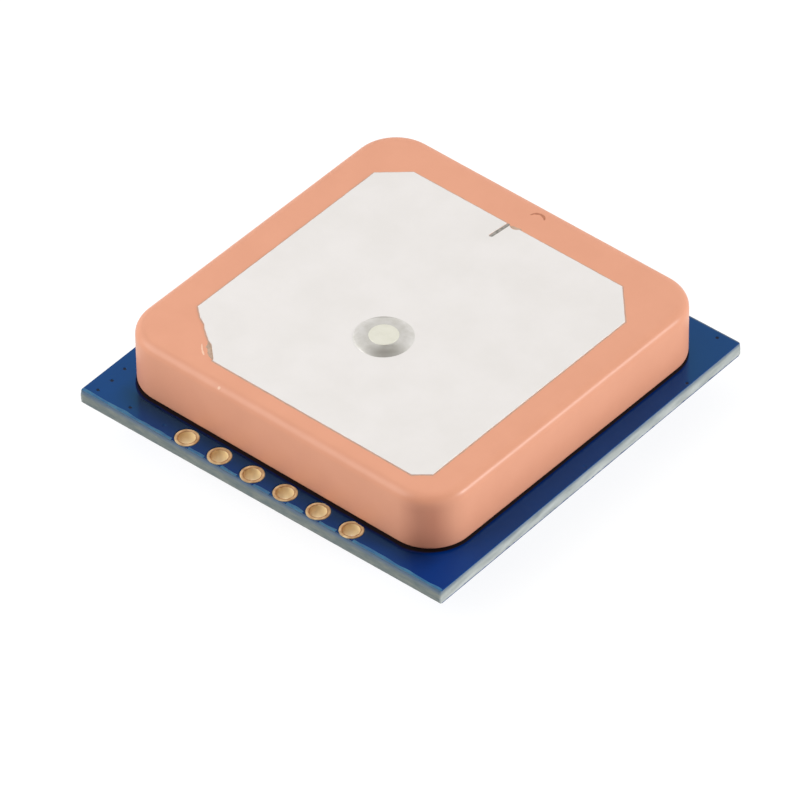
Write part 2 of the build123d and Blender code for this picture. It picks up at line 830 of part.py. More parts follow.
# Solder at both ends of the small parts and of the lamp
small_places = small_capacitor_places + resistor_places + [matching_coil_place]
large_places = large_capacitor_places + [supply_bead_place]
lamp_places = [(lamp_x, strip_y, 90)]
small_wedge = wedge_of_solder(small_length / 2, land_reach, small_height * solder_climb, small_width)
large_wedge = wedge_of_solder(large_length / 2, land_reach, large_height * solder_climb, large_width)
lamp_wedge = wedge_of_solder(lamp_length / 2, land_reach, lamp_base_height * solder_climb, lamp_width)
with BuildPart() as component_solder:
    with Locations(*placed(both_ends(small_places), underside)):
        add(small_wedge.part)
    with Locations(*placed(both_ends(large_places), underside)):
        add(large_wedge.part)
    with Locations(*placed(both_ends(lamp_places), underside)):
        add(lamp_wedge.part)
component_solder.part.label = "component_solder"
export_step(component_solder.part, "parts/component_solder.step")

# Lengths, widths and metal bands of the two-ended parts, with the places of their ends
land_sizes = [
    (small_length, small_width, small_band, both_ends(small_places)),
    (large_length, large_width, large_band, both_ends(large_places)),
    (lamp_length, lamp_width, large_band, both_ends(lamp_places)),
]
tab_places = [(cell_x - cell_diameter / 2 - tab_foot, strip_y, 0), (tab_end_x + tab_foot, strip_y, 180)]


def land_sketch(growth):
    """Outline of every land on the underside, grown by a margin all round."""
    with BuildSketch(Plane.XY.offset(underside)) as lands:
        with Locations((0, can_y)):
            Rectangle(
                can_width + can_land_width + 2 * growth,
                can_depth + can_land_width + 2 * growth,
            )
            Rectangle(
                can_width - can_land_width - 2 * growth,
                can_depth - can_land_width - 2 * growth,
                mode=Mode.SUBTRACT,
            )
        with Locations(feed_place):
            Circle(feed_land_diameter / 2 + growth)
        for length, width, band, places in land_sizes:
            for x, y, turn in places:
                with Locations(Location((x, y), turn)):
                    with Locations(((length + land_reach - band) / 2, 0)):
                        Rectangle(land_reach + band + 2 * growth, width + 2 * growth)
        for x, y, turn in tab_places:
            with Locations(Location((x, y), turn)):
                Rectangle(
                    tab_foot + growth,
                    tab_width + 2 * growth,
                    align=(Align.MIN, Align.CENTER),
                )
    return lands


# Bare lands that the parts below are soldered to
land_outline = land_sketch(0)
with BuildPart() as solder_lands:
    with BuildSketch(Plane.XY.offset(underside)):
        add(land_outline.sketch)
        with Locations(feed_place):
            Circle(feed_hole_radius, mode=Mode.SUBTRACT)
    extrude(amount=mask_thickness)
solder_lands.part.label = "solder_lands"
export_step(solder_lands.part, "parts/solder_lands.step")

# Bottom solder mask, opened over the lands and over the whole row of pin holes
land_openings = land_sketch(land_clearance)
with BuildPart() as solder_mask_bottom:
    with BuildSketch(Plane.XY.offset(underside)):
        Rectangle(board_width, board_depth - 2 * mask_edge_pullback)
        add(land_openings.sketch, mode=Mode.SUBTRACT)
        with Locations((pin_row_shift, front_edge)):
            Rectangle(
                (pin_count - 1) * pin_pitch + pin_rim_diameter + 2 * mask_pullback,
                2 * (pin_edge_distance + pin_rim_diameter / 2 + mask_pullback),
                mode=Mode.SUBTRACT,
            )
    extrude(amount=mask_thickness)
solder_mask_bottom.part.label = "solder_mask_bottom"
export_step(solder_mask_bottom.part, "parts/solder_mask_bottom.step")
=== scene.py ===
"""Looks of a satellite positioning module: finishes, fine forms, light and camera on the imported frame.

Every piece is built in metres, in the row's frame: X along the row of pin holes, Y towards the back
edge and Z up, with the shield can's lid resting at Z = 0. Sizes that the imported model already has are
read from its meshes, and only the fine forms that it leaves out have sizes of their own here.
"""

from __future__ import annotations

import logging
import math
from collections.abc import Callable, Iterable, Sequence
from dataclasses import dataclass, field, replace
from enum import Enum

import bmesh
import bpy
from mathutils import Matrix, Vector, noise
from mathutils.geometry import tessellate_polygon

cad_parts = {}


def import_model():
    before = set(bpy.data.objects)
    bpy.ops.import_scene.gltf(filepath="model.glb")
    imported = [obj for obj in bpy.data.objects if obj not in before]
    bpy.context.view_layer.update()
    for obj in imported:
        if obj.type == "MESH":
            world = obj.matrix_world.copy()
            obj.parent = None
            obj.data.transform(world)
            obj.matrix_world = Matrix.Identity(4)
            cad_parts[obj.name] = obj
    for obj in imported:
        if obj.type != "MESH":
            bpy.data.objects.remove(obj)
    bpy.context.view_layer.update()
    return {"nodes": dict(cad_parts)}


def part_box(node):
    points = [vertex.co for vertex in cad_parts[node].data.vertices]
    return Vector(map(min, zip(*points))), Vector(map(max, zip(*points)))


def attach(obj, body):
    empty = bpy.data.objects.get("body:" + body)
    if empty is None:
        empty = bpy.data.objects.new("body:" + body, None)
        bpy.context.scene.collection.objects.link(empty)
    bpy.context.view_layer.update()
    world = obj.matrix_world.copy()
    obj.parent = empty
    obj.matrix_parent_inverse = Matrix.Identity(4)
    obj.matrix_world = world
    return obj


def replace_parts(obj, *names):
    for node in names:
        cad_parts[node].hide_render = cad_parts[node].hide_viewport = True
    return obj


LOG = logging.getLogger("module")
BODY = "root"
MM = 0.001
STAIN = "stain"
# Edges that turn more than this stay sharp
SHARP_TURN = math.radians(35.0)
# Sockets of a Mix node, which go by number because those of one name differ only in kind
SHARE_IN, LEVEL_A, LEVEL_B, TONE_A, TONE_B = 0, 2, 3, 6, 7
LEVEL_OUT, TONE_OUT = 0, 2
# Length of one wave of the wave texture at a scale of one: its phase is twenty times the coordinate
WAVE_LENGTH = 2 * math.pi / 20
Loop = list[Vector]
# Places from left to right and from the front to the back, or steps of a profile
Pairs = tuple[tuple[float, float], ...]


def linear(hex_colour: str) -> tuple[float, float, float, float]:
    """Turns an sRGB hex colour into linear light.

    Args:
        hex_colour: Six hex digits with a leading hash.

    Returns:
        Red, green, blue and an alpha of one.
    """
    channels = [int(hex_colour[i : i + 2], 16) / 255 for i in (1, 3, 5)]
    bright = [c / 12.92 if c <= 0.04045 else ((c + 0.055) / 1.055) ** 2.4 for c in channels]
    return (bright[0], bright[1], bright[2], 1.0)


def per_mm(size_mm: float) -> float:
    """Gives the texture scale at which one pattern feature measures size_mm."""
    return 1 / (size_mm * MM)


def wobble(point: Vector, size_mm: float) -> float:
    """Gives smooth noise from -1 to 1 whose bumps are about size_mm across."""
    return noise.noise(point * per_mm(size_mm))


def limited(value: float) -> float:
    """Keeps a value between zero and one."""
    return max(0.0, min(1.0, value))


def add_node(
    tree: bpy.types.NodeTree,
    kind: str,
    settings: dict[str, object] | None = None,
    inputs: dict[str | int, object] | None = None,
) -> bpy.types.Node:
    """Adds one shader node with its settings, values and links.

    Args:
        tree: The node tree that gets the node.
        kind: The node's type name without its ShaderNode prefix.
        settings: Attributes of the node.
        inputs: For each input, a value or an output socket to link from.

    Returns:
        The new node.
    """
    node = tree.nodes.new("ShaderNode" + kind)
    for name, value in (settings or {}).items():
        setattr(node, name, value)
    for name, value in (inputs or {}).items():
        if isinstance(value, bpy.types.NodeSocket):
            tree.links.new(value, node.inputs[name])
        else:
            node.inputs[name].default_value = value
    return node


class Side(Enum):
    """The way a flat face looks: up or down."""

    TOP = 1
    BOTTOM = -1


class Slot(Enum):
    """The record's material slots."""

    LAMINATE = "laminate"
    LACQUER = "blue_lacquer"
    GOLD = "gold_plating"
    CERAMIC = "antenna_ceramic"
    SILVER = "fired_silver"
    SOLDER = "solder"
    PIN = "tinned_pin"
    TAPE = "tape"
    CAN = "tinned_steel"
    MOULDING = "chip_moulding"
    LEAD = "tinned_lead"
    CAPACITOR = "capacitor_ceramic"
    RESISTOR = "resistor_glaze"
    FERRITE = "ferrite"
    PACKAGE = "package_ceramic"
    CELL = "cell_steel"
    LAMP_BASE = "lamp_base"
    LAMP_LENS = "lamp_lens"


@dataclass(frozen=True)
class Finish:
    """A material with two tones mixed by a fine mottle, and a bump of the same or another grain.

    Attributes:
        name: What the material is and how its surface was made.
        slot: The record's slot that it belongs to; not used.
        tone: Main colour.
        second_tone: Colour of the mottle.
        mottle_mm: Size of the mottle.
        mottle_share: How far the mottle reaches towards the second tone.
        mottle_edges: Levels of the noise between which the mottle turns from one tone to the other.
        metallic: One for bare metal, and less where a dull skin covers it.
        roughness: Mean roughness.
        roughness_spread: How far the roughness varies with the grain.
        ior: Refractive index, left at its default for a metal.
        grain_mm: Size of the surface grain.
        grain_stretch: Stretch of the grain along X, Y and Z.
        grain_height_mm: Height of the grain.
    """

    name: str
    slot: Slot
    tone: str
    second_tone: str
    mottle_mm: float = 1.0
    mottle_share: float = 0.5
    mottle_edges: tuple[float, float] = (0.35, 0.65)
    metallic: float = 0.0
    roughness: float = 0.5
    roughness_spread: float = 0.06
    ior: float = 1.5
    grain_mm: float = 0.1
    grain_stretch: tuple[float, float, float] = (1.0, 1.0, 1.0)
    grain_height_mm: float = 0.002

    def material(self) -> bpy.types.Material:
        """Makes the material, or returns the one already made.

        Returns:
            The Blender material of this finish.
        """
        known = bpy.data.materials.get(self.name)
        if known:
            return known
        made = bpy.data.materials.new(self.name)
        made.use_nodes = True
        tree = made.node_tree
        tree.nodes.clear()
        place = add_node(tree, "TexCoord").outputs["Object"]
        grain = self.grain(tree, place)
        colour = self.colour(tree, place)
        relief = add_node(
            tree,
            "Bump",
            inputs={
                "Strength": 1.0,
                "Distance": self.grain_height_mm * MM,
                "Height": self.relief(tree, place, grain),
            },
        )
        shine = add_node(
            tree,
            "MapRange",
            inputs={
                "Value": grain,
                "To Min": self.roughness - self.roughness_spread,
                "To Max": self.roughness + self.roughness_spread,
            },
        )
        shader = add_node(
            tree,
            "BsdfPrincipled",
            inputs={
                "Base Color": colour,
                "Metallic": self.metallic,
                "Roughness": shine.outputs["Result"],
                "Normal": relief.outputs["Normal"],
            },
        )
        if not self.metallic:
            shader.inputs["IOR"].default_value = self.ior
        add_node(tree, "OutputMaterial", inputs={"Surface": shader.outputs["BSDF"]})
        self.adjust(shader)
        return made

    def grain(self, tree: bpy.types.NodeTree, place: bpy.types.NodeSocket) -> bpy.types.NodeSocket:
        """Adds the fine grain that drives relief and roughness.

        Args:
            tree: The material's node tree.
            place: Position in the row's frame.

        Returns:
            The grain, from zero to one.
        """
        stretched = add_node(
            tree,
            "Mapping",
            inputs={"Vector": place, "Scale": [per_mm(self.grain_mm) / s for s in self.grain_stretch]},
        )
        texture = add_node(
            tree,
            "TexNoise",
            inputs={"Vector": stretched.outputs["Vector"], "Scale": 1.0, "Detail": 3.0, "Roughness": 0.6},
        )
        return texture.outputs["Fac"]

    def relief(
        self, tree: bpy.types.NodeTree, place: bpy.types.NodeSocket, grain: bpy.types.NodeSocket
    ) -> bpy.types.NodeSocket:
        """Gives the height of the surface, which is the grain alone unless a finish has more."""
        return grain

    def blotches(self, tree: bpy.types.NodeTree, place: bpy.types.NodeSocket) -> bpy.types.NodeSocket:
        """Adds the noise that the mottle is made from.

        Args:
            tree: The material's node tree.
            place: Position in the row's frame.

        Returns:
            The noise, from zero to one.
        """
        texture = add_node(
            tree,
            "TexNoise",
            inputs={"Vector": place, "Scale": per_mm(self.mottle_mm), "Detail": 4.0, "Roughness": 0.55},
        )
        return texture.outputs["Fac"]

    def mottle(self, tree: bpy.types.NodeTree, place: bpy.types.NodeSocket) -> bpy.types.NodeSocket:
        """Adds the mottle that mixes the two tones.

        Args:
            tree: The material's node tree.
            place: Position in the row's frame.

        Returns:
            The share of the second tone.
        """
        low, high = self.mottle_edges
        noise_level = self.blotches(tree, place)
        reach = {"Value": noise_level, "From Min": low, "From Max": high, "To Max": self.mottle_share}
        return add_node(tree, "MapRange", inputs=reach).outputs["Result"]

    def colour(self, tree: bpy.types.NodeTree, place: bpy.types.NodeSocket) -> bpy.types.NodeSocket:
        """Mixes the two tones.

        Args:
            tree: The material's node tree.
            place: Position in the row's frame.

        Returns:
            The colour of the surface.
        """
        first, second = linear(self.tone), linear(self.second_tone)
        tones = {SHARE_IN: self.mottle(tree, place), TONE_A: first, TONE_B: second}
        return add_node(tree, "Mix", {"data_type": "RGBA"}, tones).outputs[TONE_OUT]

    def adjust(self, shader: bpy.types.Node) -> None:
        """Sets what only some finishes have on the shader's own sockets."""


@dataclass(frozen=True)
class StainedFinish(Finish):
    """A finish with a third tone, laid over the two where the mesh's stain attribute says so.

    Attributes:
        stain_tone: Colour where the stain is full.
    """

    stain_tone: str = field(kw_only=True)

    def colour(self, tree: bpy.types.NodeTree, place: bpy.types.NodeSocket) -> bpy.types.NodeSocket:
        """Mixes the two tones, then the stain over them.

        Args:
            tree: The material's node tree.
            place: Position in the row's frame.

        Returns:
            The colour of the surface.
        """
        stain = add_node(tree, "Attribute", {"attribute_name": STAIN}).outputs["Fac"]
        tones = {SHARE_IN: stain, TONE_A: super().colour(tree, place), TONE_B: linear(self.stain_tone)}
        return add_node(tree, "Mix", {"data_type": "RGBA"}, tones).outputs[TONE_OUT]


@dataclass(frozen=True)
class EdgeFinish(StainedFinish):
    """The cut edge of glass-epoxy board: thin layers of glass cloth seen from their ends.

    Attributes:
        mottle_edges: As in every finish, but further apart, so that the layers are softer.
        layer_mm: Thickness of a layer of cloth.
        bundle_mm: Length along the edge over which a bundle of glass shows.
        run_tone: Colour where lacquer has run down from the board's top.
        run_mm: Height at which that lacquer ends, and the one from which it is full.
        run_share: How far it covers the other tones there.
    """

    mottle_edges: tuple[float, float] = (0.3, 0.7)
    layer_mm: float = 0.25
    bundle_mm: float = 0.9
    run_tone: str = "#3F5F80"
    run_mm: tuple[float, float] = (3.12, 3.44)
    run_share: float = 0.95

    def colour(self, tree: bpy.types.NodeTree, place: bpy.types.NodeSocket) -> bpy.types.NodeSocket:
        """Lays the lacquer that has run down from the board's top over the other tones.

        Args:
            tree: The material's node tree.
            place: Position in the row's frame.

        Returns:
            The colour of the surface.
        """
        height = add_node(tree, "SeparateXYZ", inputs={0: place}).outputs["Z"]
        low, high = self.run_mm
        reach = {"Value": height, "From Min": low * MM, "From Max": high * MM, "To Max": self.run_share}
        share = add_node(tree, "MapRange", inputs=reach).outputs["Result"]
        tones = {SHARE_IN: share, TONE_A: super().colour(tree, place), TONE_B: linear(self.run_tone)}
        return add_node(tree, "Mix", {"data_type": "RGBA"}, tones).outputs[TONE_OUT]

    def blotches(self, tree: bpy.types.NodeTree, place: bpy.types.NodeSocket) -> bpy.types.NodeSocket:
        """Lays the noise in level layers, broken up along the edge by the bundles of glass.

        Args:
            tree: The material's node tree.
            place: Position in the row's frame.

        Returns:
            The noise, from zero to one.
        """
        sizes = (self.bundle_mm, self.bundle_mm, self.layer_mm)
        flat = add_node(
            tree, "Mapping", inputs={"Vector": place, "Scale": [per_mm(size_mm) for size_mm in sizes]}
        )
        texture = add_node(
            tree,
            "TexNoise",
            inputs={"Vector": flat.outputs["Vector"], "Scale": 1.0, "Detail": 5.0, "Roughness": 0.6},
        )
        return texture.outputs["Fac"]


@dataclass(frozen=True)
class LacquerFinish(Finish):
    """Lacquer flowed over glass cloth, whose weave telegraphs through as a faint relief.

    Attributes:
        weave_mm: Spacing of the slow waves that the cloth leaves once the lacquer has levelled out over
            its threads, which are 0.5 mm apart and don't show.
        weave_share: Height of these waves as a share of the grain's.
        gloss_tone: Tint of the resin's gloss.
        shade_tone: Colour of the painted shade on the strip along the block's front foot, where the block
            hides the sky and its reflection.
        shade_share: How dark that strip is, with zero for none.
        shade_middle_mm: Y of its middle line.
        shade_reach_mm: How far it reaches to both sides of that line, fading out.
        shade_ends_mm: How far left and right of the middle it is gone, and how far it is full.
    """

    weave_mm: float = 3.1416
    weave_share: float = 0.35
    gloss_tone: str = "#62E0FF"
    shade_tone: str = "#000E30"
    shade_share: float = 0.0
    shade_middle_mm: float = -12.3
    shade_reach_mm: float = 1.7
    shade_ends_mm: tuple[float, float] = (12.4, 10.4)

    def colour(self, tree: bpy.types.NodeTree, place: bpy.types.NodeSocket) -> bpy.types.NodeSocket:
        """Paints shade on the strip along the block's front foot, where the block hides the sky and its
        reflection.

        Args:
            tree: The material's node tree.
            place: Position in the row's frame.

        Returns:
            The colour of the surface.
        """
        plain = super().colour(tree, place)
        if not self.shade_share:
            return plain
        # Painted shade: next to the block the lacquer gets less sky and mirrors the block instead
        axes = add_node(tree, "SeparateXYZ", inputs={0: place})
        line = {0: axes.outputs["Y"], 1: self.shade_middle_mm * MM}
        away = add_node(tree, "Math", {"operation": "SUBTRACT"}, line).outputs["Value"]
        width = add_node(tree, "Math", {"operation": "ABSOLUTE"}, {0: away}).outputs["Value"]
        along = add_node(tree, "Math", {"operation": "ABSOLUTE"}, {0: axes.outputs["X"]}).outputs["Value"]
        reach = self.shade_reach_mm * MM
        across = {"Value": width, "From Min": reach, "From Max": 0.0, "To Max": self.shade_share}
        gone, full = self.shade_ends_mm
        ends = {"Value": along, "From Min": gone * MM, "From Max": full * MM}
        shares = [add_node(tree, "MapRange", inputs=fade).outputs["Result"] for fade in (across, ends)]
        share = add_node(tree, "Math", {"operation": "MULTIPLY"}, dict(enumerate(shares))).outputs["Value"]
        tones = {SHARE_IN: share, TONE_A: plain, TONE_B: linear(self.shade_tone)}
        return add_node(tree, "Mix", {"data_type": "RGBA"}, tones).outputs[TONE_OUT]

    def adjust(self, shader: bpy.types.Node) -> None:
        """Tints the gloss of the blue resin."""
        shader.inputs["Specular Tint"].default_value = linear(self.gloss_tone)

    def relief(
        self, tree: bpy.types.NodeTree, place: bpy.types.NodeSocket, grain: bpy.types.NodeSocket
    ) -> bpy.types.NodeSocket:
        """Adds the two directions of the weave to the grain.

        Args:
            tree: The material's node tree.
            place: Position in the row's frame.
            grain: The fine grain.

        Returns:
            The height of the surface.
        """
        bands = {"Vector": place, "Scale": WAVE_LENGTH * per_mm(self.weave_mm), "Distortion": 0.4}
        waves = [add_node(tree, "TexWave", {"bands_direction": axis}, bands).outputs["Fac"] for axis in "XY"]
        cloth = add_node(tree, "Math", {"operation": "MULTIPLY"}, dict(enumerate(waves))).outputs["Value"]
        scaled = {0: cloth, 1: self.weave_share}
        height = {0: add_node(tree, "Math", {"operation": "MULTIPLY"}, scaled).outputs["Value"], 1: grain}
        return add_node(tree, "Math", {"operation": "ADD"}, height).outputs["Value"]


@dataclass(frozen=True)
class ResinFinish(Finish):
    """Clear or milky cast resin that light passes through.

    Attributes:
        transmission: Share of the light that passes.
    """

    transmission: float = 0.5

    def adjust(self, shader: bpy.types.Node) -> None:
        """Lets part of the light through."""
        shader.inputs["Transmission Weight"].default_value = self.transmission


# Mottle and grain have their real sizes where these show. The grain of fired ceramic and silver, of
# plated tin and of rolled or drawn steel is 0.001 to 0.03 mm, too fine to show in the render, so it is
# drawn at 0.04 to 0.12 mm, as coarse as it needs to be to show.

# Pressed and fired dielectric ceramic, not glazed: an even pink-brown with a soft satin shine, brown
# at the foot, partly adhesive and partly painted contact shade, and painted shade on the front corner
PRESSED_CERAMIC = StainedFinish(
    "dielectric_ceramic_pressed",
    Slot.CERAMIC,
    "#E09D7E",
    "#DC997A",
    stain_tone="#8C2E12",
    mottle_mm=2.4,
    mottle_share=0.7,
    roughness=0.38,
    ior=1.43,
    grain_mm=0.12,
    grain_height_mm=0.0016,
)
# Silver paste printed through a mesh and fired: matt and nearly white, with a faint cloudiness, and
# browner where it thins out at its edge
PRINTED_SILVER = StainedFinish(
    "silver_paste_fired",
    Slot.SILVER,
    "#E9E5E2",
    "#E4E0DC",
    stain_tone="#D3B9A9",
    mottle_mm=2.8,
    mottle_share=0.7,
    metallic=0.3,
    roughness=0.58,
    grain_mm=0.08,
    grain_height_mm=0.002,
)
# Glass from the paste that has bled into the ceramic beside the print: a thin tan line
BLED_FRIT = Finish(
    "silver_glass_bled",
    Slot.SILVER,
    "#CDA18A",
    "#BE937C",
    mottle_mm=0.4,
    mottle_share=0.8,
    roughness=0.5,
    grain_mm=0.06,
)
# Ceramic rubbed grey-brown by the tool that scraped the silver off; beside the silver's scraped corner the
# same tone also paints the shade in a shallow hollow
SCRAPED_CERAMIC_AND_SHADE = Finish(
    "ceramic_scraped_and_shaded",
    Slot.CERAMIC,
    "#C0A48E",
    "#AA8D78",
    mottle_mm=0.25,
    mottle_share=0.9,
    roughness=0.6,
    grain_mm=0.06,
)
# A rubbed mark on the ceramic: a thin brown line
BROWN_SCUFF = Finish(
    "ceramic_rubbed_brown",
    Slot.CERAMIC,
    "#AC6644",
    "#BE7C5A",
    mottle_mm=0.2,
    mottle_share=0.8,
    roughness=0.55,
    ior=1.6,
    grain_mm=0.06,
)
# Freshly broken ceramic: paler than the fired skin; the same tone paints the highlight on the rim of the
# scraped hollow
PALE_CHIP_AND_HIGHLIGHT = Finish(
    "ceramic_chipped_pale_and_highlight",
    Slot.CERAMIC,
    "#F0C6AB",
    "#E9B696",
    mottle_mm=0.1,
    roughness=0.6,
    ior=1.6,
    grain_mm=0.04,
)
# Scorched bottom of the trimmed slot: grey where the silver was ground away
GROUND_SLOT = Finish(
    "silver_slot_ground",
    Slot.SILVER,
    "#A39E96",
    "#73706A",
    mottle_mm=0.22,
    mottle_share=0.9,
    roughness=0.6,
    grain_mm=0.05,
    grain_height_mm=0.004,
)
# Tin solder that has flowed and set: grey metal with soft wrinkles
FLOWED_SOLDER = Finish(
    "tin_solder_flowed",
    Slot.SOLDER,
    "#CBC8C1",
    "#B9B6AE",
    mottle_mm=0.6,
    mottle_share=0.6,
    metallic=1.0,
    roughness=0.34,
    roughness_spread=0.08,
    grain_mm=0.35,
    grain_height_mm=0.012,
)
# The same solder wetted out on the silver: paler under a dull skin, a little darker than the silver that
# it fades into, with painted shade: a dark crescent at its front foot, a dark line behind the head and a
# painted shadow just in front of the head
WETTED_SOLDER = StainedFinish(
    "tin_solder_wetted",
    Slot.SOLDER,
    "#E4E1DD",
    "#D6D3CC",
    stain_tone="#88847B",
    mottle_mm=0.5,
    mottle_share=0.9,
    metallic=0.6,
    roughness=0.48,
    roughness_spread=0.08,
    grain_mm=0.35,
    grain_height_mm=0.02,
)
# Brass pin head under dull tin: pale and slightly warm, stamped flat
TINNED_HEAD = Finish(
    "brass_pin_tinned",
    Slot.PIN,
    "#E5E3D6",
    "#DCDACB",
    mottle_mm=0.5,
    metallic=0.5,
    roughness=0.6,
    grain_mm=0.07,
    grain_height_mm=0.003,
)
# Blue epoxy lacquer, flowed on and cured: deep colour under a glossy skin
BLUE_LACQUER = LacquerFinish(
    "epoxy_lacquer_blue",
    Slot.LACQUER,
    "#002A72",
    "#00307A",
    mottle_mm=3.0,
    mottle_share=0.6,
    roughness=0.16,
    roughness_spread=0.03,
    ior=1.58,
    grain_mm=0.25,
    grain_height_mm=0.0015,
)
# The same lacquer on the board's top, with painted shade on a strip along the block's front foot
SHADED_LACQUER = replace(BLUE_LACQUER, name="epoxy_lacquer_blue_painted_shade", shade_share=1.0)
# The same lacquer where it covers copper: a little lighter
COVERED_COPPER = LacquerFinish(
    "epoxy_lacquer_over_copper",
    Slot.LACQUER,
    "#0B468C",
    "#0F4D94",
    mottle_mm=1.5,
    mottle_share=0.5,
    roughness=0.2,
    roughness_spread=0.04,
    ior=1.5,
    grain_mm=0.25,
    grain_height_mm=0.0015,
)
# The same lacquer where it thins out at a cut edge and the pale board shows through: teal, then grey
THIN_LACQUER = StainedFinish(
    "epoxy_lacquer_thinned",
    Slot.LACQUER,
    "#2C6492",
    "#3F7A9C",
    stain_tone="#566C78",
    mottle_mm=0.9,
    mottle_share=0.9,
    roughness=0.3,
    ior=1.38,
    grain_mm=0.12,
    grain_height_mm=0.004,
)
# The shaft of a small plated hole under the lacquer: a dark dot
DARK_HOLE = Finish(
    "epoxy_lacquer_in_hole",
    Slot.LACQUER,
    "#071538",
    "#050E28",
    mottle_mm=0.1,
    roughness=0.5,
    ior=1.3,
    grain_mm=0.05,
)
# Glass cloth in epoxy, cut with a router: green-grey layers, whitened where the board was snapped off,
# and bluish near the top, where lacquer has run down
CUT_LAMINATE = EdgeFinish(
    "glass_epoxy_routed",
    Slot.LAMINATE,
    "#80867F",
    "#57676B",
    mottle_share=0.9,
    stain_tone="#D2D8D7",
    roughness=0.55,
    ior=1.55,
    grain_mm=0.09,
    grain_stretch=(1.0, 1.0, 0.6),
    grain_height_mm=0.012,
)
# Gold plated over nickel and copper, then handled: blotchy pale rims, a darker ring at each hole's lip,
# and painted light on the wall in it, brighter towards the right back
GOLD_PLATING = StainedFinish(
    "gold_plated_copper",
    Slot.GOLD,
    "#B88E60",
    "#94683E",
    stain_tone="#F8E0AE",
    mottle_mm=0.22,
    mottle_share=0.9,
    metallic=0.15,
    roughness=0.42,
    roughness_spread=0.1,
    grain_mm=0.12,
    grain_height_mm=0.012,
)
# Foam tape with adhesive: dark and dull
FOAM_TAPE = Finish(
    "acrylic_foam_tape", Slot.TAPE, "#2B1A14", "#1D120F", mottle_mm=0.5, roughness=0.85, grain_mm=0.08
)
# The dark film round the block's foot, partly the tape's adhesive squeezed out and partly painted contact
# shade and dark reflection: brown-black, thinned out to navy over the lacquer
ADHESIVE_AND_FOOT_SHADE = StainedFinish(
    "acrylic_adhesive_and_painted_shade",
    Slot.TAPE,
    "#150A0A",
    "#1E0F0D",
    stain_tone="#0A1A48",
    mottle_mm=0.6,
    roughness=0.75,
    ior=1.15,
    grain_mm=0.15,
)
# Tinned steel sheet, rolled, blanked and folded: bright, with fine rolling lines
TINNED_SHEET = Finish(
    "tinned_steel_rolled",
    Slot.CAN,
    "#CFD1D0",
    "#C5C7C6",
    mottle_mm=3.0,
    mottle_share=0.5,
    metallic=1.0,
    roughness=0.32,
    roughness_spread=0.07,
    grain_mm=0.08,
    grain_stretch=(18.0, 1.0, 1.0),
    grain_height_mm=0.002,
)
# Filled epoxy moulded round a chip: near black, fine matt grain
MOULDED_EPOXY = Finish(
    "filled_epoxy_moulded",
    Slot.MOULDING,
    "#1B1C1E",
    "#252628",
    mottle_mm=0.15,
    roughness=0.6,
    ior=1.55,
    grain_mm=0.06,
    grain_height_mm=0.004,
)
# Copper alloy with matt tin plating: soft grey shine
TIN_PLATING = Finish(
    "copper_tin_plated",
    Slot.LEAD,
    "#CFCDC8",
    "#BDBBB5",
    mottle_mm=0.3,
    metallic=1.0,
    roughness=0.38,
    grain_mm=0.08,
    grain_height_mm=0.003,
)
# Fired titanate ceramic of a capacitor: tan to brown, slightly waxy
CAPACITOR_CERAMIC = Finish(
    "titanate_ceramic_fired",
    Slot.CAPACITOR,
    "#A37F60",
    "#8E6C51",
    mottle_mm=0.25,
    roughness=0.45,
    grain_mm=0.05,
)
# Dark overglaze on the resistor's ceramic: smooth and glossy
RESISTOR_GLAZE = Finish(
    "resistor_overglaze", Slot.RESISTOR, "#15171A", "#1F2226", mottle_mm=0.2, roughness=0.3, grain_mm=0.07
)
# Sintered ferrite: grey-black with a fine dull grain
SINTERED_FERRITE = Finish(
    "ferrite_sintered", Slot.FERRITE, "#3A3B3E", "#2E2F32", mottle_mm=0.2, roughness=0.55, grain_mm=0.05
)
# Alumina package, pressed and fired: warm off-white
PACKAGE_CERAMIC = Finish(
    "alumina_package_fired", Slot.PACKAGE, "#CFC8B8", "#C2BAA8", mottle_mm=0.4, roughness=0.5, grain_mm=0.06
)
# Deep-drawn steel with nickel plating: bright, with faint drawing lines
NICKEL_STEEL = Finish(
    "steel_nickel_plated",
    Slot.CELL,
    "#D2D0CA",
    "#C4C2BC",
    mottle_mm=1.0,
    metallic=1.0,
    roughness=0.26,
    grain_mm=0.06,
    grain_stretch=(1.0, 1.0, 8.0),
    grain_height_mm=0.002,
)
# White thermoplastic of the lamp's base
LAMP_PLASTIC = Finish(
    "lamp_base_moulded", Slot.LAMP_BASE, "#E8E6DF", "#DEDCD4", mottle_mm=0.2, roughness=0.45, grain_mm=0.06
)
# Cast resin over the lamp's chip: milky and smooth
LAMP_RESIN = ResinFinish(
    "lamp_resin_cast",
    Slot.LAMP_LENS,
    "#E9E6C9",
    "#DEDBBD",
    mottle_mm=0.4,
    roughness=0.15,
    roughness_spread=0.03,
    grain_mm=0.2,
)


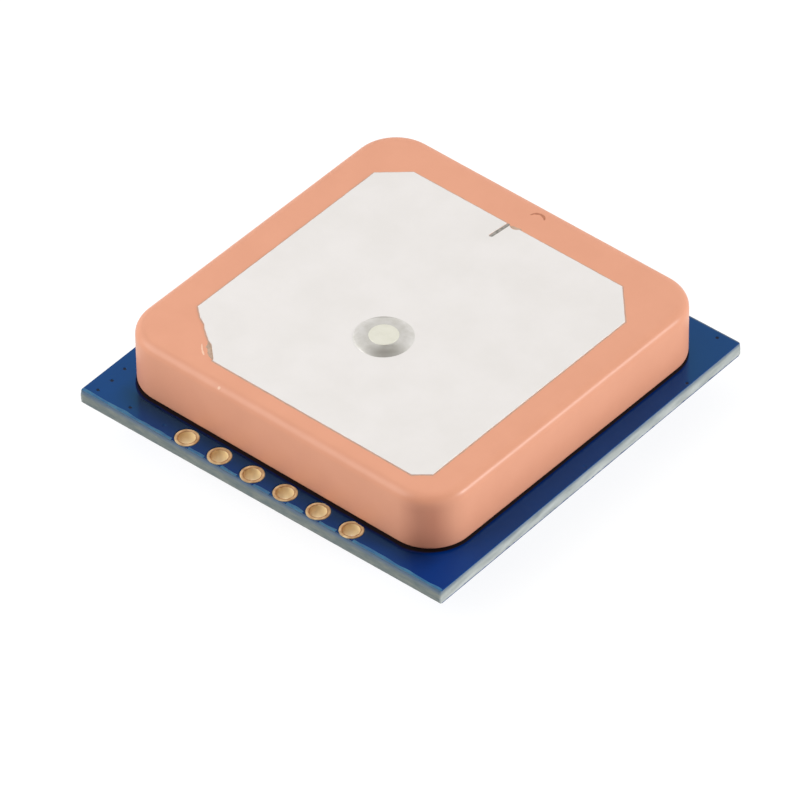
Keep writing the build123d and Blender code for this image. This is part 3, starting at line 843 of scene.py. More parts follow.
@dataclass
class MeshMaker:
    """Collects rings of points and the faces between them, and makes one object of them.

    Attributes:
        mesh: The mesh that grows until the object is made.
    """

    mesh: bmesh.types.BMesh = field(default_factory=bmesh.new)

    def ring(self, points: Iterable[Vector]) -> list[bmesh.types.BMVert]:
        """Adds a vertex for each point."""
        return [self.mesh.verts.new(p) for p in points]

    def bridge(self, low: Sequence[bmesh.types.BMVert], high: Sequence[bmesh.types.BMVert]) -> None:
        """Joins two closed rings that have as many points.

        Args:
            low: The lower ring, anticlockwise seen from above for faces that look outwards.
            high: The ring above it, in the same order.
        """
        for i, corner in enumerate(low):
            j = (i + 1) % len(low)
            self.mesh.faces.new((corner, low[j], high[j], high[i]))

    def tube(self, rings: Sequence[Iterable[Vector]], closed: bool = False) -> list[list[bmesh.types.BMVert]]:
        """Adds rings and bridges each to the next.

        Args:
            rings: Rings of points, all with the same count.
            closed: True to bridge the last ring to the first.

        Returns:
            The rings' vertices.
        """
        made = [self.ring(points) for points in rings]
        for low, high in zip(made, made[1:] + made[:1] if closed else made[1:]):
            self.bridge(low, high)
        return made

    def cap(self, ring: Sequence[bmesh.types.BMVert], side: Side) -> None:
        """Closes a ring with one flat face.

        Args:
            ring: The ring, in either order.
            side: The way the face looks.
        """
        face = self.mesh.faces.new(ring)
        face.normal_update()
        if face.normal.z * side.value < 0:
            face.normal_flip()

    def sheet(self, rings: Sequence[Sequence[bmesh.types.BMVert]], side: Side) -> None:
        """Fills the space between an outer ring and the rings of its openings with flat faces.

        Args:
            rings: The outer ring and the rings of the openings, all at one height.
            side: The way the faces look.
        """
        corners = [vertex for ring in rings for vertex in ring]
        for triangle in tessellate_polygon([[vertex.co for vertex in ring] for ring in rings]):
            self.cap([corners[i] for i in triangle], side)

    def piece(
        self, name: str, finish: Finish, stain: Callable[[Vector], float] | None = None
    ) -> bpy.types.Object:
        """Makes the object, smooth but for its sharp edges, and lets it ride on the module.

        Args:
            name: The piece's name.
            finish: Its finish.
            stain: Gives how stained a place is, from zero to one.

        Returns:
            The object.
        """
        self.mesh.normal_update()
        for face in self.mesh.faces:
            face.smooth = True
        for edge in self.mesh.edges:
            if len(edge.link_faces) == 2 and edge.calc_face_angle() > SHARP_TURN:
                edge.smooth = False
        if stain:
            layer = self.mesh.verts.layers.float.new(STAIN)
            for vertex in self.mesh.verts:
                vertex[layer] = stain(vertex.co)
        data = bpy.data.meshes.new(name)
        self.mesh.to_mesh(data)
        self.mesh.free()
        made = bpy.data.objects.new(name, data)
        bpy.context.scene.collection.objects.link(made)
        data.materials.append(finish.material())
        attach(made, BODY)
        LOG.info("%s: %d faces in %s", name, len(data.polygons), finish.name)
        return made


def dress(nodes: dict[str, bpy.types.Object], finishes: dict[str, Finish]) -> None:
    """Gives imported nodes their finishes.

    Args:
        nodes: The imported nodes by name.
        finishes: The finish of each node that is dressed.
    """
    for name, finish in finishes.items():
        data = nodes[name].data
        data.materials.clear()
        data.materials.append(finish.material())
        LOG.info("%s: packed solid in %s", name, finish.name)


def outlines(node: bpy.types.Object, height: float, side: Side) -> list[Loop]:
    """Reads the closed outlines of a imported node's flat faces at one height.

    Args:
        node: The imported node.
        height: Height of the faces, in metres.
        side: The way the faces look.

    Returns:
        The outlines, each as points in order, with the longest first.
    """
    tolerance = 1e-6
    data = node.data
    keys = [tuple(round(c / tolerance) for c in v.co) for v in data.vertices]
    points = {key: v.co.copy() for key, v in zip(keys, data.vertices)}
    edges = []
    for face in data.polygons:
        if face.normal.z * side.value > 0.99 and abs(face.center.z - height) < 5 * tolerance:
            corners = [keys[i] for i in face.vertices]
            edges += [pair for pair in zip(corners, corners[1:] + corners[:1]) if pair[0] != pair[1]]
    shared = {(second, first) for first, second in edges}
    following = dict(pair for pair in edges if pair not in shared)
    loops = []
    while following:
        loop = []
        key = next(iter(following))
        while key in following:
            loop.append(points[key])
            key = following.pop(key)
        loops.append(loop)
    return sorted(loops, key=length_round, reverse=True)


def length_round(loop: Loop) -> float:
    """Gives the length of a closed outline."""
    return sum((b - a).length for a, b in zip(loop, loop[1:] + loop[:1]))


def area(loop: Loop) -> float:
    """Gives the area inside a closed outline seen from above, negative where it runs clockwise."""
    return sum(a.x * b.y - b.x * a.y for a, b in zip(loop, loop[1:] + loop[:1])) / 2


def anticlockwise(loop: Loop) -> Loop:
    """Gives the outline in anticlockwise order seen from above."""
    return loop if area(loop) > 0 else loop[::-1]


def resampled(loop: Loop, step: float) -> Loop:
    """Gives the outline with extra points so that none of its sides is longer than step.

    Args:
        loop: A closed outline.
        step: The longest side that stays.

    Returns:
        The outline with its own corners and the extra points.
    """
    made = []
    for a, b in zip(loop, loop[1:] + loop[:1]):
        count = max(1, math.ceil((b - a).length / step))
        made += [a.lerp(b, i / count) for i in range(count)]
    return made


def offset_loop(loop: Loop, distance: Callable[[Vector], float]) -> Loop:
    """Moves each point of an anticlockwise outline square to it.

    Args:
        loop: The outline.
        distance: Gives how far a point moves, outwards where it is positive.

    Returns:
        The moved outline.
    """
    made = []
    for before, here, after in zip(loop[-1:] + loop[:-1], loop, loop[1:] + loop[:1]):
        along = ((here - before).normalized() + (after - here).normalized()).normalized()
        made.append(here + Vector((along.y, -along.x, 0)) * distance(here))
    return made


def lifted(loop: Loop, height: float) -> Loop:
    """Gives the outline at another height."""
    return [Vector((p.x, p.y, height)) for p in loop]


def circle(centre: Vector, radius: float, height: float, count: int) -> Loop:
    """Gives a circle's points, anticlockwise."""
    turns = [2 * math.pi * i / count for i in range(count)]
    return [Vector((centre.x + radius * math.cos(t), centre.y + radius * math.sin(t), height)) for t in turns]


def middle(loop: Loop) -> Vector:
    """Gives the middle of an outline's box."""
    axes = list(zip(*loop))
    return (Vector(map(min, axes)) + Vector(map(max, axes))) / 2


@dataclass
class Board:
    """The blue-lacquered circuit board: its lacquer, its cut edge and the small holes through it.

    Attributes:
        nodes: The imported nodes.
        via_places_mm: Places of the small plated holes on the top.
        filled_places_mm: Places of those that the lacquer has nearly filled.
        via_radius_mm: Radius of such a hole under the lacquer.
        via_ring_mm: Radius within which the lacquer sinks towards the hole.
        dimple_mm: Depth of the dimple in the lacquer over a hole.
        lip_mm: How far the lacquer thins out towards its edges.
        thin_edge_mm: Width of the teal edge between the pin holes.
        thin_film_mm: Thickness of the lacquer there.
        tucked_mm: How far that edge lies under the rims of the pin holes and inside the board's outline.
        score_mm: Depth of the panel's score along the snapped sides, by share of the board's height.
        fray_step_mm: Longest side of the board's outline, so that its broken fibres show.
        routed_fray_mm: How deep the fibres are broken along the routed front and back.
        snapped_fray_mm: How deep they are broken along the snapped sides.
        snapped_zone_mm: How far in from its outline such a side is whitened.
        whitening: How white it is at its bottom, how much that varies, and how much less it is at its top.
    """

    nodes: dict[str, bpy.types.Object]
    via_places_mm: Pairs = (
        (-13.07, -13.39),
        (-13.09, -10.97),
        (-10.56, -13.35),
        (12.56, 13.49),
        (13.68, 9.16),
        (-12.99, -12.24),
    )
    filled_places_mm: Pairs = ((-7.93, -13.32), (13.62, -0.41))
    via_radius_mm: float = 0.12
    via_ring_mm: float = 0.22
    dimple_mm: float = 0.03
    lip_mm: float = 0.035
    thin_edge_mm: float = 0.17
    thin_film_mm: float = 0.004
    tucked_mm: tuple[float, float] = (0.1, 0.02)
    score_mm: Pairs = (
        (0.0, 0.0),
        (0.12, 0.0),
        (0.26, 0.0),
        (0.42, 0.0),
        (0.58, 0.0),
        (0.74, 0.01),
        (0.88, 0.025),
        (1.0, 0.045),
    )
    fray_step_mm: float = 0.16
    routed_fray_mm: float = 0.012
    snapped_fray_mm: float = 0.04
    snapped_zone_mm: float = 0.1
    whitening: tuple[float, float, float] = (0.5, 0.3, 0.22)

    def build(self) -> None:
        """Builds the bare board and the top lacquer with its fine forms, and dresses the lower lacquer."""
        dress(self.nodes, {"solder_mask_bottom": BLUE_LACQUER})
        self.laminate()
        self.lacquer_top()
        self.via_shafts()
        self.thin_edges()

    def lacquer_room(self, place: Vector) -> float:
        """Gives how far the flat lacquer reaches from a small hole's middle towards the nearest edge.

        Args:
            place: The hole's middle on the lacquer.

        Returns:
            The distance in metres.
        """
        low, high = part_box("laminate")
        to_edge = min(place.x - low.x, high.x - place.x, place.y - low.y, high.y - place.y)
        return to_edge - 2 * self.lip_mm * MM

    def laminate(self) -> None:
        """Builds the bare board: routed at the front and back, snapped from its panel left and right."""
        low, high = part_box("laminate")
        thick = high.z - low.z
        loops = [anticlockwise(loop) for loop in outlines(self.nodes["laminate"], high.z, Side.TOP)]
        outer = resampled(loops[0], self.fray_step_mm * MM)
        maker = MeshMaker()
        levels = [(low.z + thick * share, inset_mm) for share, inset_mm in self.score_mm]
        rings = maker.tube([self.frayed(lifted(outer, height), inset_mm) for height, inset_mm in levels])
        bores = [maker.tube([lifted(loop, high.z), lifted(loop, low.z)]) for loop in loops[1:]]
        maker.sheet([rings[-1], *(bore[0] for bore in bores)], Side.TOP)
        maker.sheet([rings[0], *(bore[-1] for bore in bores)], Side.BOTTOM)
        snapped_from = high.x - self.snapped_zone_mm * MM
        bottom, spread, loss = self.whitening

        def whitened(p: Vector) -> float:
            """Gives how white a place is, with streaks that run along the side."""
            streak = wobble(Vector((p.x, 0.3 * p.y, 1.6 * p.z)), 0.45)
            return (abs(p.x) > snapped_from) * (bottom + spread * streak - loss * (p.z - low.z) / thick)

        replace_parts(maker.piece("laminate_board", CUT_LAMINATE, stain=whitened), "laminate")

    def frayed(self, loop: Loop, inset_mm: float) -> Loop:
        """Moves a ring of the board's edge inwards, as the scoring and the broken fibres leave it.

        Args:
            loop: The ring on the full outline.
            inset_mm: Depth of the score at this height.

        Returns:
            The moved ring.
        """
        snapped_from = max(p.x for p in loop) - 0.01 * MM

        def outwards(p: Vector) -> float:
            """Gives how far a place moves outwards, in metres.

            Args:
                p: The place on the ring.

            Returns:
                The distance, never above zero.
            """
            snapped = abs(p.x) > snapped_from
            fray_mm = self.snapped_fray_mm if snapped else self.routed_fray_mm
            return -(snapped * inset_mm + fray_mm * abs(wobble(p, 0.3))) * MM

        return offset_loop(loop, outwards)

    def lacquer_top(self) -> None:
        """Builds the lacquer: thinned edges, openings round the pin holes, dimples over the small holes."""
        low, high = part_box("solder_mask_top")
        loops = outlines(self.nodes["solder_mask_top"], high.z, Side.TOP)
        outer = anticlockwise(loops[0])
        maker = MeshMaker()
        lip = self.lip_mm * MM
        rings = maker.tube(
            [
                lifted(outer, low.z),
                lifted(outer, high.z - 0.7 * lip),
                lifted(offset_loop(outer, lambda p: -0.3 * lip), high.z - 0.2 * lip),
                lifted(offset_loop(outer, lambda p: -lip), high.z),
                lifted(offset_loop(outer, lambda p: -1.6 * lip), high.z),
            ]
        )
        places = self.via_places_mm + self.filled_places_mm
        openings = [self.dimple(maker, Vector((x * MM, y * MM, high.z))) for x, y in places]
        round_holes = [anticlockwise(loop) for loop in loops[1:]]
        walls = [maker.tube([lifted(loop, high.z), lifted(loop, low.z)]) for loop in round_holes]
        maker.sheet([rings[-1], *openings, *(wall[0] for wall in walls)], Side.TOP)
        maker.sheet([rings[0], *(wall[-1] for wall in walls)], Side.BOTTOM)
        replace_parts(maker.piece("lacquer_top", SHADED_LACQUER), "solder_mask_top")

    def dimple(self, maker: MeshMaker, place: Vector) -> list[bmesh.types.BMVert]:
        """Builds the lacquer over one small hole: a dimple in a level ring.

        Args:
            maker: The lacquer's mesh.
            place: The hole's middle on the lacquer.

        Returns:
            The ring at which the dimple joins the flat lacquer.
        """
        reach = min(self.via_ring_mm * MM, self.lacquer_room(place))
        hole = min(self.via_radius_mm * MM, 0.75 * reach)
        depth = self.dimple_mm * MM
        profile = [(reach, 0), (0.9 * reach, 0), (hole, -0.1 * depth), (0.85 * hole, -0.6 * depth)]
        rings = maker.tube([circle(place, r, place.z + z, count=24) for r, z in profile])
        maker.cap(rings[-1], Side.TOP)
        return rings[0]

    def via_shafts(self) -> None:
        """Builds the dark bottoms of the dimples over the small holes."""
        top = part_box("solder_mask_top")[1].z
        depth = self.dimple_mm * MM
        maker = MeshMaker()
        for x, y in self.via_places_mm:
            place = Vector((x * MM, y * MM, top))
            hole = min(self.via_radius_mm * MM, 0.75 * self.lacquer_room(place))
            profile = [(0.94 * hole, top - 0.5 * depth), (0.8 * hole, top - 0.45 * depth)]
            rings = maker.tube([circle(place, r, z, count=24) for r, z in profile])
            maker.cap(rings[0], Side.BOTTOM)
            maker.cap(rings[-1], Side.TOP)
        maker.piece("via_shafts", DARK_HOLE)

    def thin_edges(self) -> None:
        """Builds the thinned, teal edge of the lacquer along the front, between the pin holes."""
        low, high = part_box("solder_mask_top")
        board_low, board_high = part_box("laminate")
        loops = outlines(self.nodes["plated_holes"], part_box("plated_holes")[1].z, Side.TOP)
        rims = [(min(p.x for p in loop), max(p.x for p in loop)) for loop in loops[: len(loops) // 2]]
        under, inside = (tuck_mm * MM for tuck_mm in self.tucked_mm)
        tucked = [x for left, right in sorted(rims) for x in (left + under, right - under)]
        ends = [board_low.x + inside, *tucked, board_high.x - inside]
        film = self.thin_film_mm * MM
        step = 0.15 * MM
        maker = MeshMaker()
        for left, right in zip(ends[::2], ends[1::2]):
            count = max(3, math.ceil((right - left) / step))
            line = [Vector((left + (right - left) * i / count, low.y, high.z)) for i in range(count + 1)]
            reach = [self.thin_edge_mm * MM * (0.75 + 0.5 * wobble(p, 0.8)) for p in line]
            rows = [
                [Vector((p.x, board_low.y + inside, board_high.z + film)) for p in line],
                [Vector((p.x, low.y - film, high.z - 5 * film)) for p in line],
                [Vector((p.x, low.y + 2 * film, high.z + film)) for p in line],
                [Vector((p.x, low.y + r, high.z + 0.5 * film)) for p, r in zip(line, reach)],
                [Vector((p.x, low.y + r, board_high.z - film)) for p, r in zip(line, reach)],
                [Vector((p.x, board_low.y + inside, board_high.z - film)) for p in line],
            ]
            slices = maker.tube([[row[i] for row in rows] for i in range(count + 1)])
            maker.mesh.faces.new(slices[0][::-1])
            maker.mesh.faces.new(slices[-1])
        maker.piece("lacquer_edge", THIN_LACQUER, stain=lambda p: float(p.y < low.y - 2 * film))


@dataclass
class Tracks:
    """The copper tracks of the board's lower face, seen as a low relief under the lacquer.

    Attributes:
        routes_mm: For each track its width and the points of its middle line.
        via_places_mm: Places of the small plated holes.
        land_radius_mm: Radius of the copper round such a hole.
        via_radius_mm: Radius of the dark dot in it.
        relief_mm: How far the copper of a track lifts the lacquer.
        land_relief: How far the copper round a hole and the dot in it stand out, as multiples of that.
        slope_mm: Width of the slope at a track's edge.
        rooted_mm: How far a plateau reaches up into the lacquer.
    """

    routes_mm: tuple[tuple[float, Pairs], ...] = (
        (0.3, ((-6.35, -12.45), (-6.65, -12.15), (-12.25, -12.15), (-12.7, -11.7), (-12.7, -1.0))),
        (0.25, ((-3.81, -12.45), (-3.81, -11.0), (-3.3, -10.5), (-3.3, -6.55))),
        (0.25, ((-1.27, -12.45), (-1.27, -12.0), (-1.6, -11.75))),
        (0.2, ((-0.59, -11.2), (-0.59, -6.55))),
        (0.25, ((1.27, -12.45), (1.27, -12.0), (0.95, -11.75))),
        (0.25, ((3.81, -12.45), (3.81, -11.5), (3.35, -11.0), (3.35, -6.55))),
        (0.6, ((6.35, -12.45), (6.35, -11.5), (6.2, -11.2), (6.2, -10.65))),
        (0.4, ((6.2, -8.35), (6.2, -7.9), (5.9, -7.6), (4.5, -7.6), (4.2, -7.9), (4.2, -8.35))),
        (0.2, ((8.2, -8.65), (8.2, -6.55))),
        (
            0.2,
            (
                (8.2, -10.35),
                (8.2, -12.3),
                (8.6, -12.7),
                (12.2, -12.7),
                (12.7, -12.2),
                (12.7, 2.2),
                (13.1, 2.6),
                (13.1, 9.0),
            ),
        ),
        (0.2, ((9.85, -8.65), (9.85, -6.55))),
        (0.2, ((9.85, -10.35), (9.85, -11.0), (10.15, -11.3), (10.9, -11.3), (11.2, -11.0), (11.2, -10.65))),
        (0.2, ((11.2, -8.35), (11.2, -7.9), (12.1, -7.0), (12.1, 3.0), (12.5, 3.4), (12.5, 6.0))),
        (0.25, ((-11.78, -9.5), (-12.1, -9.2), (-12.1, 1.0), (-12.5, 1.4), (-12.5, 8.0))),
        (0.25, ((-12.6, 9.4), (-12.6, 11.4), (-10.7, 13.3), (-2.0, 13.3))),
        (0.25, ((2.0, 13.3), (10.0, 13.3), (12.2, 11.1), (12.2, 8.0))),
    )
    via_places_mm: Pairs = (
        (-12.7, -1.0),
        (13.1, 9.0),
        (12.5, 6.0),
        (-12.5, 8.0),
        (-12.6, 9.4),
        (-2.0, 13.3),
        (2.0, 13.3),
        (12.2, 8.0),
    )
    land_radius_mm: float = 0.28
    via_radius_mm: float = 0.11
    relief_mm: float = 0.012
    land_relief: tuple[float, float] = (1.3, 1.6)
    slope_mm: float = 0.025
    rooted_mm: float = 0.002

    def build(self) -> None:
        """Builds the tracks, the copper round the small holes and their dark dots."""
        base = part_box("solder_mask_bottom")[0].z
        relief = self.relief_mm * MM
        land, dot = self.land_relief
        copper, dots = MeshMaker(), MeshMaker()
        for width_mm, line_mm in self.routes_mm:
            self.raise_copper(copper, self.band(line_mm, width_mm, base), relief)
        for x, y in self.via_places_mm:
            place = Vector((x * MM, y * MM, base))
            self.raise_copper(copper, circle(place, self.land_radius_mm * MM, base, count=24), land * relief)
            self.raise_copper(dots, circle(place, self.via_radius_mm * MM, base, count=16), dot * relief)
        copper.piece("covered_tracks", COVERED_COPPER)
        dots.piece("covered_vias", DARK_HOLE)

    def band(self, line_mm: Pairs, width_mm: float, height: float) -> Loop:
        """Gives the outline of a band along a line, with mitred bends.

        Args:
            line_mm: Points of the middle line.
            width_mm: Width of the band.
            height: Height of the outline in metres.

        Returns:
            The outline, anticlockwise.
        """
        line = [Vector((x * MM, y * MM, height)) for x, y in line_mm]
        left, right = [], []
        for i, here in enumerate(line):
            before = (here - line[i - 1]).normalized() if i else (line[1] - here).normalized()
            after = (line[i + 1] - here).normalized() if i + 1 < len(line) else before
            along = (before + after).normalized()
            half = width_mm * MM / 2 / along.dot(before)
            across = Vector((-along.y, along.x, 0)) * half
            left.append(here + across)
            right.append(here - across)
        return anticlockwise(right + left[::-1])

    def raise_copper(self, maker: MeshMaker, loop: Loop, relief: float) -> None:
        """Builds one low plateau below the lacquer's face.

        Args:
            maker: The mesh that gets it.
            loop: Its outline, anticlockwise, at the height of the lacquer's face.
            relief: How far it stands out in metres.
        """
        base = loop[0].z
        face = offset_loop(loop, lambda p: -self.slope_mm * MM)
        rings = maker.tube([lifted(face, base - relief), lifted(loop, base + self.rooted_mm * MM)])
        maker.sheet([rings[0]], Side.BOTTOM)
        maker.sheet([rings[1]], Side.TOP)


@dataclass
class PinRow:
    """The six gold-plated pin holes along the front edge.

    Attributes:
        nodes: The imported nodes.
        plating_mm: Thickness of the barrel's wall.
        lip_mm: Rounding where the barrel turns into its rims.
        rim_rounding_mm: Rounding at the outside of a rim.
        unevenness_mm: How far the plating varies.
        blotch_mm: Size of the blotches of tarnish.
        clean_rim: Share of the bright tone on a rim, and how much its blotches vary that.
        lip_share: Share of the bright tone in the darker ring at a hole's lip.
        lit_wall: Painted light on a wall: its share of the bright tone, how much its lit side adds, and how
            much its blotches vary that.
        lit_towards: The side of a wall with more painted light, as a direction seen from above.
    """

    nodes: dict[str, bpy.types.Object]
    plating_mm: float = 0.05
    lip_mm: float = 0.045
    rim_rounding_mm: float = 0.02
    unevenness_mm: float = 0.011
    blotch_mm: float = 0.3
    clean_rim: tuple[float, float] = (0.5, 0.5)
    lip_share: float = 0.05
    lit_wall: tuple[float, float, float] = (0.78, 0.3, 0.2)
    lit_towards: tuple[float, float] = (0.76, 0.65)

    def build(self) -> None:
        """Builds the six barrels in one piece."""
        low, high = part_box("plated_holes")
        laminate_low, laminate_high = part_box("laminate")
        loops = outlines(self.nodes["plated_holes"], high.z, Side.TOP)
        rims, holes = loops[: len(loops) // 2], loops[len(loops) // 2 :]
        rim_radius = (max(p.x for p in rims[0]) - min(p.x for p in rims[0])) / 2
        hole_radius = (max(p.x for p in holes[0]) - min(p.x for p in holes[0])) / 2
        lip, edge = self.lip_mm * MM, self.rim_rounding_mm * MM
        top_half = [
            (rim_radius, high.z - edge),
            (rim_radius - 0.3 * edge, high.z - 0.3 * edge),
            (rim_radius - edge, high.z),
            (rim_radius - 0.45 * (rim_radius - hole_radius), high.z),
            (hole_radius + lip, high.z),
            (hole_radius + 0.55 * lip, high.z - 0.08 * lip),
            (hole_radius + 0.2 * lip, high.z - 0.35 * lip),
            (hole_radius, high.z - lip),
        ]
        middle_height = (low.z + high.z) / 2
        bottom_half = [(r, 2 * middle_height - z) for r, z in reversed(top_half)]
        barrel = hole_radius + self.plating_mm * MM
        profile = [
            (rim_radius, laminate_high.z),
            *top_half,
            (hole_radius, middle_height),
            *bottom_half,
            (rim_radius, laminate_low.z),
            (barrel, laminate_low.z),
            (barrel, laminate_high.z),
        ]
        maker = MeshMaker()
        centres = [middle(loop) for loop in rims]
        for centre in centres:
            maker.tube([self.ring(centre, r, z) for r, z in profile], closed=True)

        def bright_share(p: Vector) -> float:
            """Gives the share of the bright tone at a place: blotches on a rim, little at the lip, and
            painted light on the wall.

            Args:
                p: The place on a barrel.

            Returns:
                The share of the bright tone.
            """
            out = min((p.xy - centre.xy for centre in centres), key=lambda away: away.length)
            blotch = wobble(p, self.blotch_mm)
            if out.length > hole_radius + 1.2 * lip:
                mean, spread = self.clean_rim
                return mean + spread * blotch
            if out.length > hole_radius + 0.05 * lip:
                return self.lip_share
            # Painted light on the wall, brighter on the side towards lit_towards
            mean, turned, spread = self.lit_wall
            return mean + turned * Vector(self.lit_towards).dot(out.normalized()) + spread * blotch

        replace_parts(maker.piece("gold_barrels", GOLD_PLATING, stain=bright_share), "plated_holes")

    def ring(self, centre: Vector, radius: float, height: float) -> Loop:
        """Gives one ring of a barrel, slightly uneven as plated copper is.

        Args:
            centre: Middle of the hole.
            radius: Nominal radius.
            height: Height of the ring.

        Returns:
            The ring's points.
        """
        spread = self.unevenness_mm * MM
        points = []
        for p in circle(centre, radius, height, count=64):
            out = (p - Vector((centre.x, centre.y, height))).normalized()
            points.append(p - out * spread * (0.5 + 0.5 * wobble(p, 0.5)))
        return points


def arc_line(
    centre_mm: tuple[float, float], radius_mm: float, turns_deg: tuple[float, float], steps: int
) -> Pairs:
    """Gives the points of an arc.

    Args:
        centre_mm: Its centre.
        radius_mm: Its radius.
        turns_deg: Where it starts and ends, anticlockwise from the right.
        steps: Count of its steps.

    Returns:
        The points, one more than its steps.
    """
    first, last = turns_deg
    turns = [math.radians(first + (last - first) * i / steps) for i in range(steps + 1)]
    x, y = centre_mm
    return tuple((x + radius_mm * math.cos(t), y + radius_mm * math.sin(t)) for t in turns)


@dataclass(frozen=True)
class Mark:
    """A thin film along a line on the block's top, narrowed to its ends.

    Attributes:
        name: The piece's name.
        finish: Its finish.
        width_mm: Its full width in the middle.
        line_mm: Points of its middle line, measured from the block's middle along its sides.
    """

    name: str
    finish: Finish
    width_mm: float
    line_mm: Pairs


@dataclass(frozen=True)
class Chip:
    """A speck where the block's rounded front edge is chipped.

    Attributes:
        place_mm: Its middle, from left to right and from the front to the back.
        below_mm: How far its middle lies below the block's top.
        lean_deg: How far it leans forward, as the rounding does there.
        radius_mm: Its mean radius.
        stray_mm: How far its outline strays.
        height_mm: Height of its crumbled middle.
        rooted_mm: How far it reaches into the block.
    """

    place_mm: tuple[float, float] = (-4.61, -12.06)
    below_mm: float = 0.196
    lean_deg: float = 45.8
    radius_mm: float = 0.1
    stray_mm: float = 0.02
    height_mm: float = 0.02
    rooted_mm: float = 0.008


@dataclass
class Antenna:
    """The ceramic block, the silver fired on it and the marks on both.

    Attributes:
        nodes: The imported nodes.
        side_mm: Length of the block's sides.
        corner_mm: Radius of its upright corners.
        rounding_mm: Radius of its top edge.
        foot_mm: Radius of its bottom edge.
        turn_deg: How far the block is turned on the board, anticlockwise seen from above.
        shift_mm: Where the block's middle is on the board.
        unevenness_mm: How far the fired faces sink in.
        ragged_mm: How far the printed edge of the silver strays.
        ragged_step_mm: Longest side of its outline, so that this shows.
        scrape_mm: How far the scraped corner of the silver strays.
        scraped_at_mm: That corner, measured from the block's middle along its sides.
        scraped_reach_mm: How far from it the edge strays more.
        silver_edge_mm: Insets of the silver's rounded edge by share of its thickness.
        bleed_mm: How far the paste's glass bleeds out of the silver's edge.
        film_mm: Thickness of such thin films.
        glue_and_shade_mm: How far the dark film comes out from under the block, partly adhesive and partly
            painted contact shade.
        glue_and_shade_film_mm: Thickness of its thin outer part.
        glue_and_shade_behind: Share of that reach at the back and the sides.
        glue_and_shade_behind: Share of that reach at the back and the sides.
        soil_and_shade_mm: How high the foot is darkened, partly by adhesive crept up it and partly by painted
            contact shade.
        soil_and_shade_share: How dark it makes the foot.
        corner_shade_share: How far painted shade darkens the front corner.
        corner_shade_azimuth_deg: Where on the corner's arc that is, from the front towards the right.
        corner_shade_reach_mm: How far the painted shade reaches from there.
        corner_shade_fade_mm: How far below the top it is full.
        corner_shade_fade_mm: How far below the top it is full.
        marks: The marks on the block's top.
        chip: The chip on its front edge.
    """

    nodes: dict[str, bpy.types.Object]
    side_mm: float = 25.0
    corner_mm: float = 2.88
    rounding_mm: float = 0.65
    foot_mm: float = 0.12
    turn_deg: float = -0.93
    shift_mm: tuple[float, float] = (-0.01, 0.18)
    unevenness_mm: float = 0.012
    ragged_mm: float = 0.012
    ragged_step_mm: float = 0.09
    scrape_mm: float = 0.05
    scraped_at_mm: tuple[float, float] = (-8.3, -9.6)
    scraped_reach_mm: float = 2.6
    silver_edge_mm: Pairs = ((0.0, 0.0), (0.55, 0.004), (0.88, 0.014), (1.0, 0.034), (1.0, 0.06))
    bleed_mm: float = 0.11
    film_mm: float = 0.01
    glue_and_shade_mm: float = 0.22
    glue_and_shade_film_mm: float = 0.02
    glue_and_shade_behind: float = 0.22
    soil_and_shade_mm: float = 0.06
    soil_and_shade_share: float = 0.85
    corner_shade_share: float = 0.29
    corner_shade_azimuth_deg: float = 28.0
    corner_shade_reach_mm: float = 1.8
    corner_shade_fade_mm: float = 0.9
    marks: tuple[Mark, ...] = (
        # The scorched film on the bottom of the tuning slot, and the scraped ceramic at its mouth
        Mark("slot_film", GROUND_SLOT, 0.44, ((-0.72, 9.75), (-0.76, 9.2), (-0.82, 8.6), (-0.87, 8.0))),
        Mark("slot_mouth", SCRAPED_CERAMIC_AND_SHADE, 0.26, ((-0.52, 9.64), (-0.3, 9.66), (-0.05, 9.72), (0.2, 9.8))),
        # The thin brown arc on the back rim
        Mark("arc_scuff", BROWN_SCUFF, 0.2, arc_line((0.22, 11.12), 0.51, (170, 28), 12)),
        # The scraped ceramic beside the corner of the silver, with painted shade in its shallow hollow and a
        # painted highlight on the hollow's rim
        Mark(
            "scraped_hollow_shade",
            SCRAPED_CERAMIC_AND_SHADE,
            0.42,
            ((-7.5, -9.72), (-7.22, -9.98), (-6.85, -10.32), (-6.5, -10.62), (-6.18, -10.82)),
        ),
        # Painted highlight on the rim of the scraped hollow
        Mark(
            "scraped_rim_highlight",
            PALE_CHIP_AND_HIGHLIGHT,
            0.15,
            ((-7.62, -10.2), (-7.38, -10.47), (-7.12, -10.69), (-6.85, -10.87)),
        ),
    )
    chip: Chip = Chip()

    def build(self) -> None:
        """Builds the block, the silver and the marks, and dresses the layers under the block."""
        dress(self.nodes, {"adhesive_tape": FOAM_TAPE, "antenna_ground_electrode": PRINTED_SILVER})
        self.block()
        self.glue_and_shade_line()
        edge = self.silver_edge()
        self.silver(edge)
        self.bled_line(edge)
        for mark in self.marks:
            self.ribbon(mark)
        self.edge_chip()

    def on_block(self, x_mm: float, y_mm: float, height: float) -> Vector:
        """Turns a place measured from the block's middle along its sides into the row's frame."""
        turned = Matrix.Rotation(math.radians(self.turn_deg), 4, "Z") @ Vector((x_mm * MM, y_mm * MM, 0))
        return Vector((turned.x + self.shift_mm[0] * MM, turned.y + self.shift_mm[1] * MM, height))

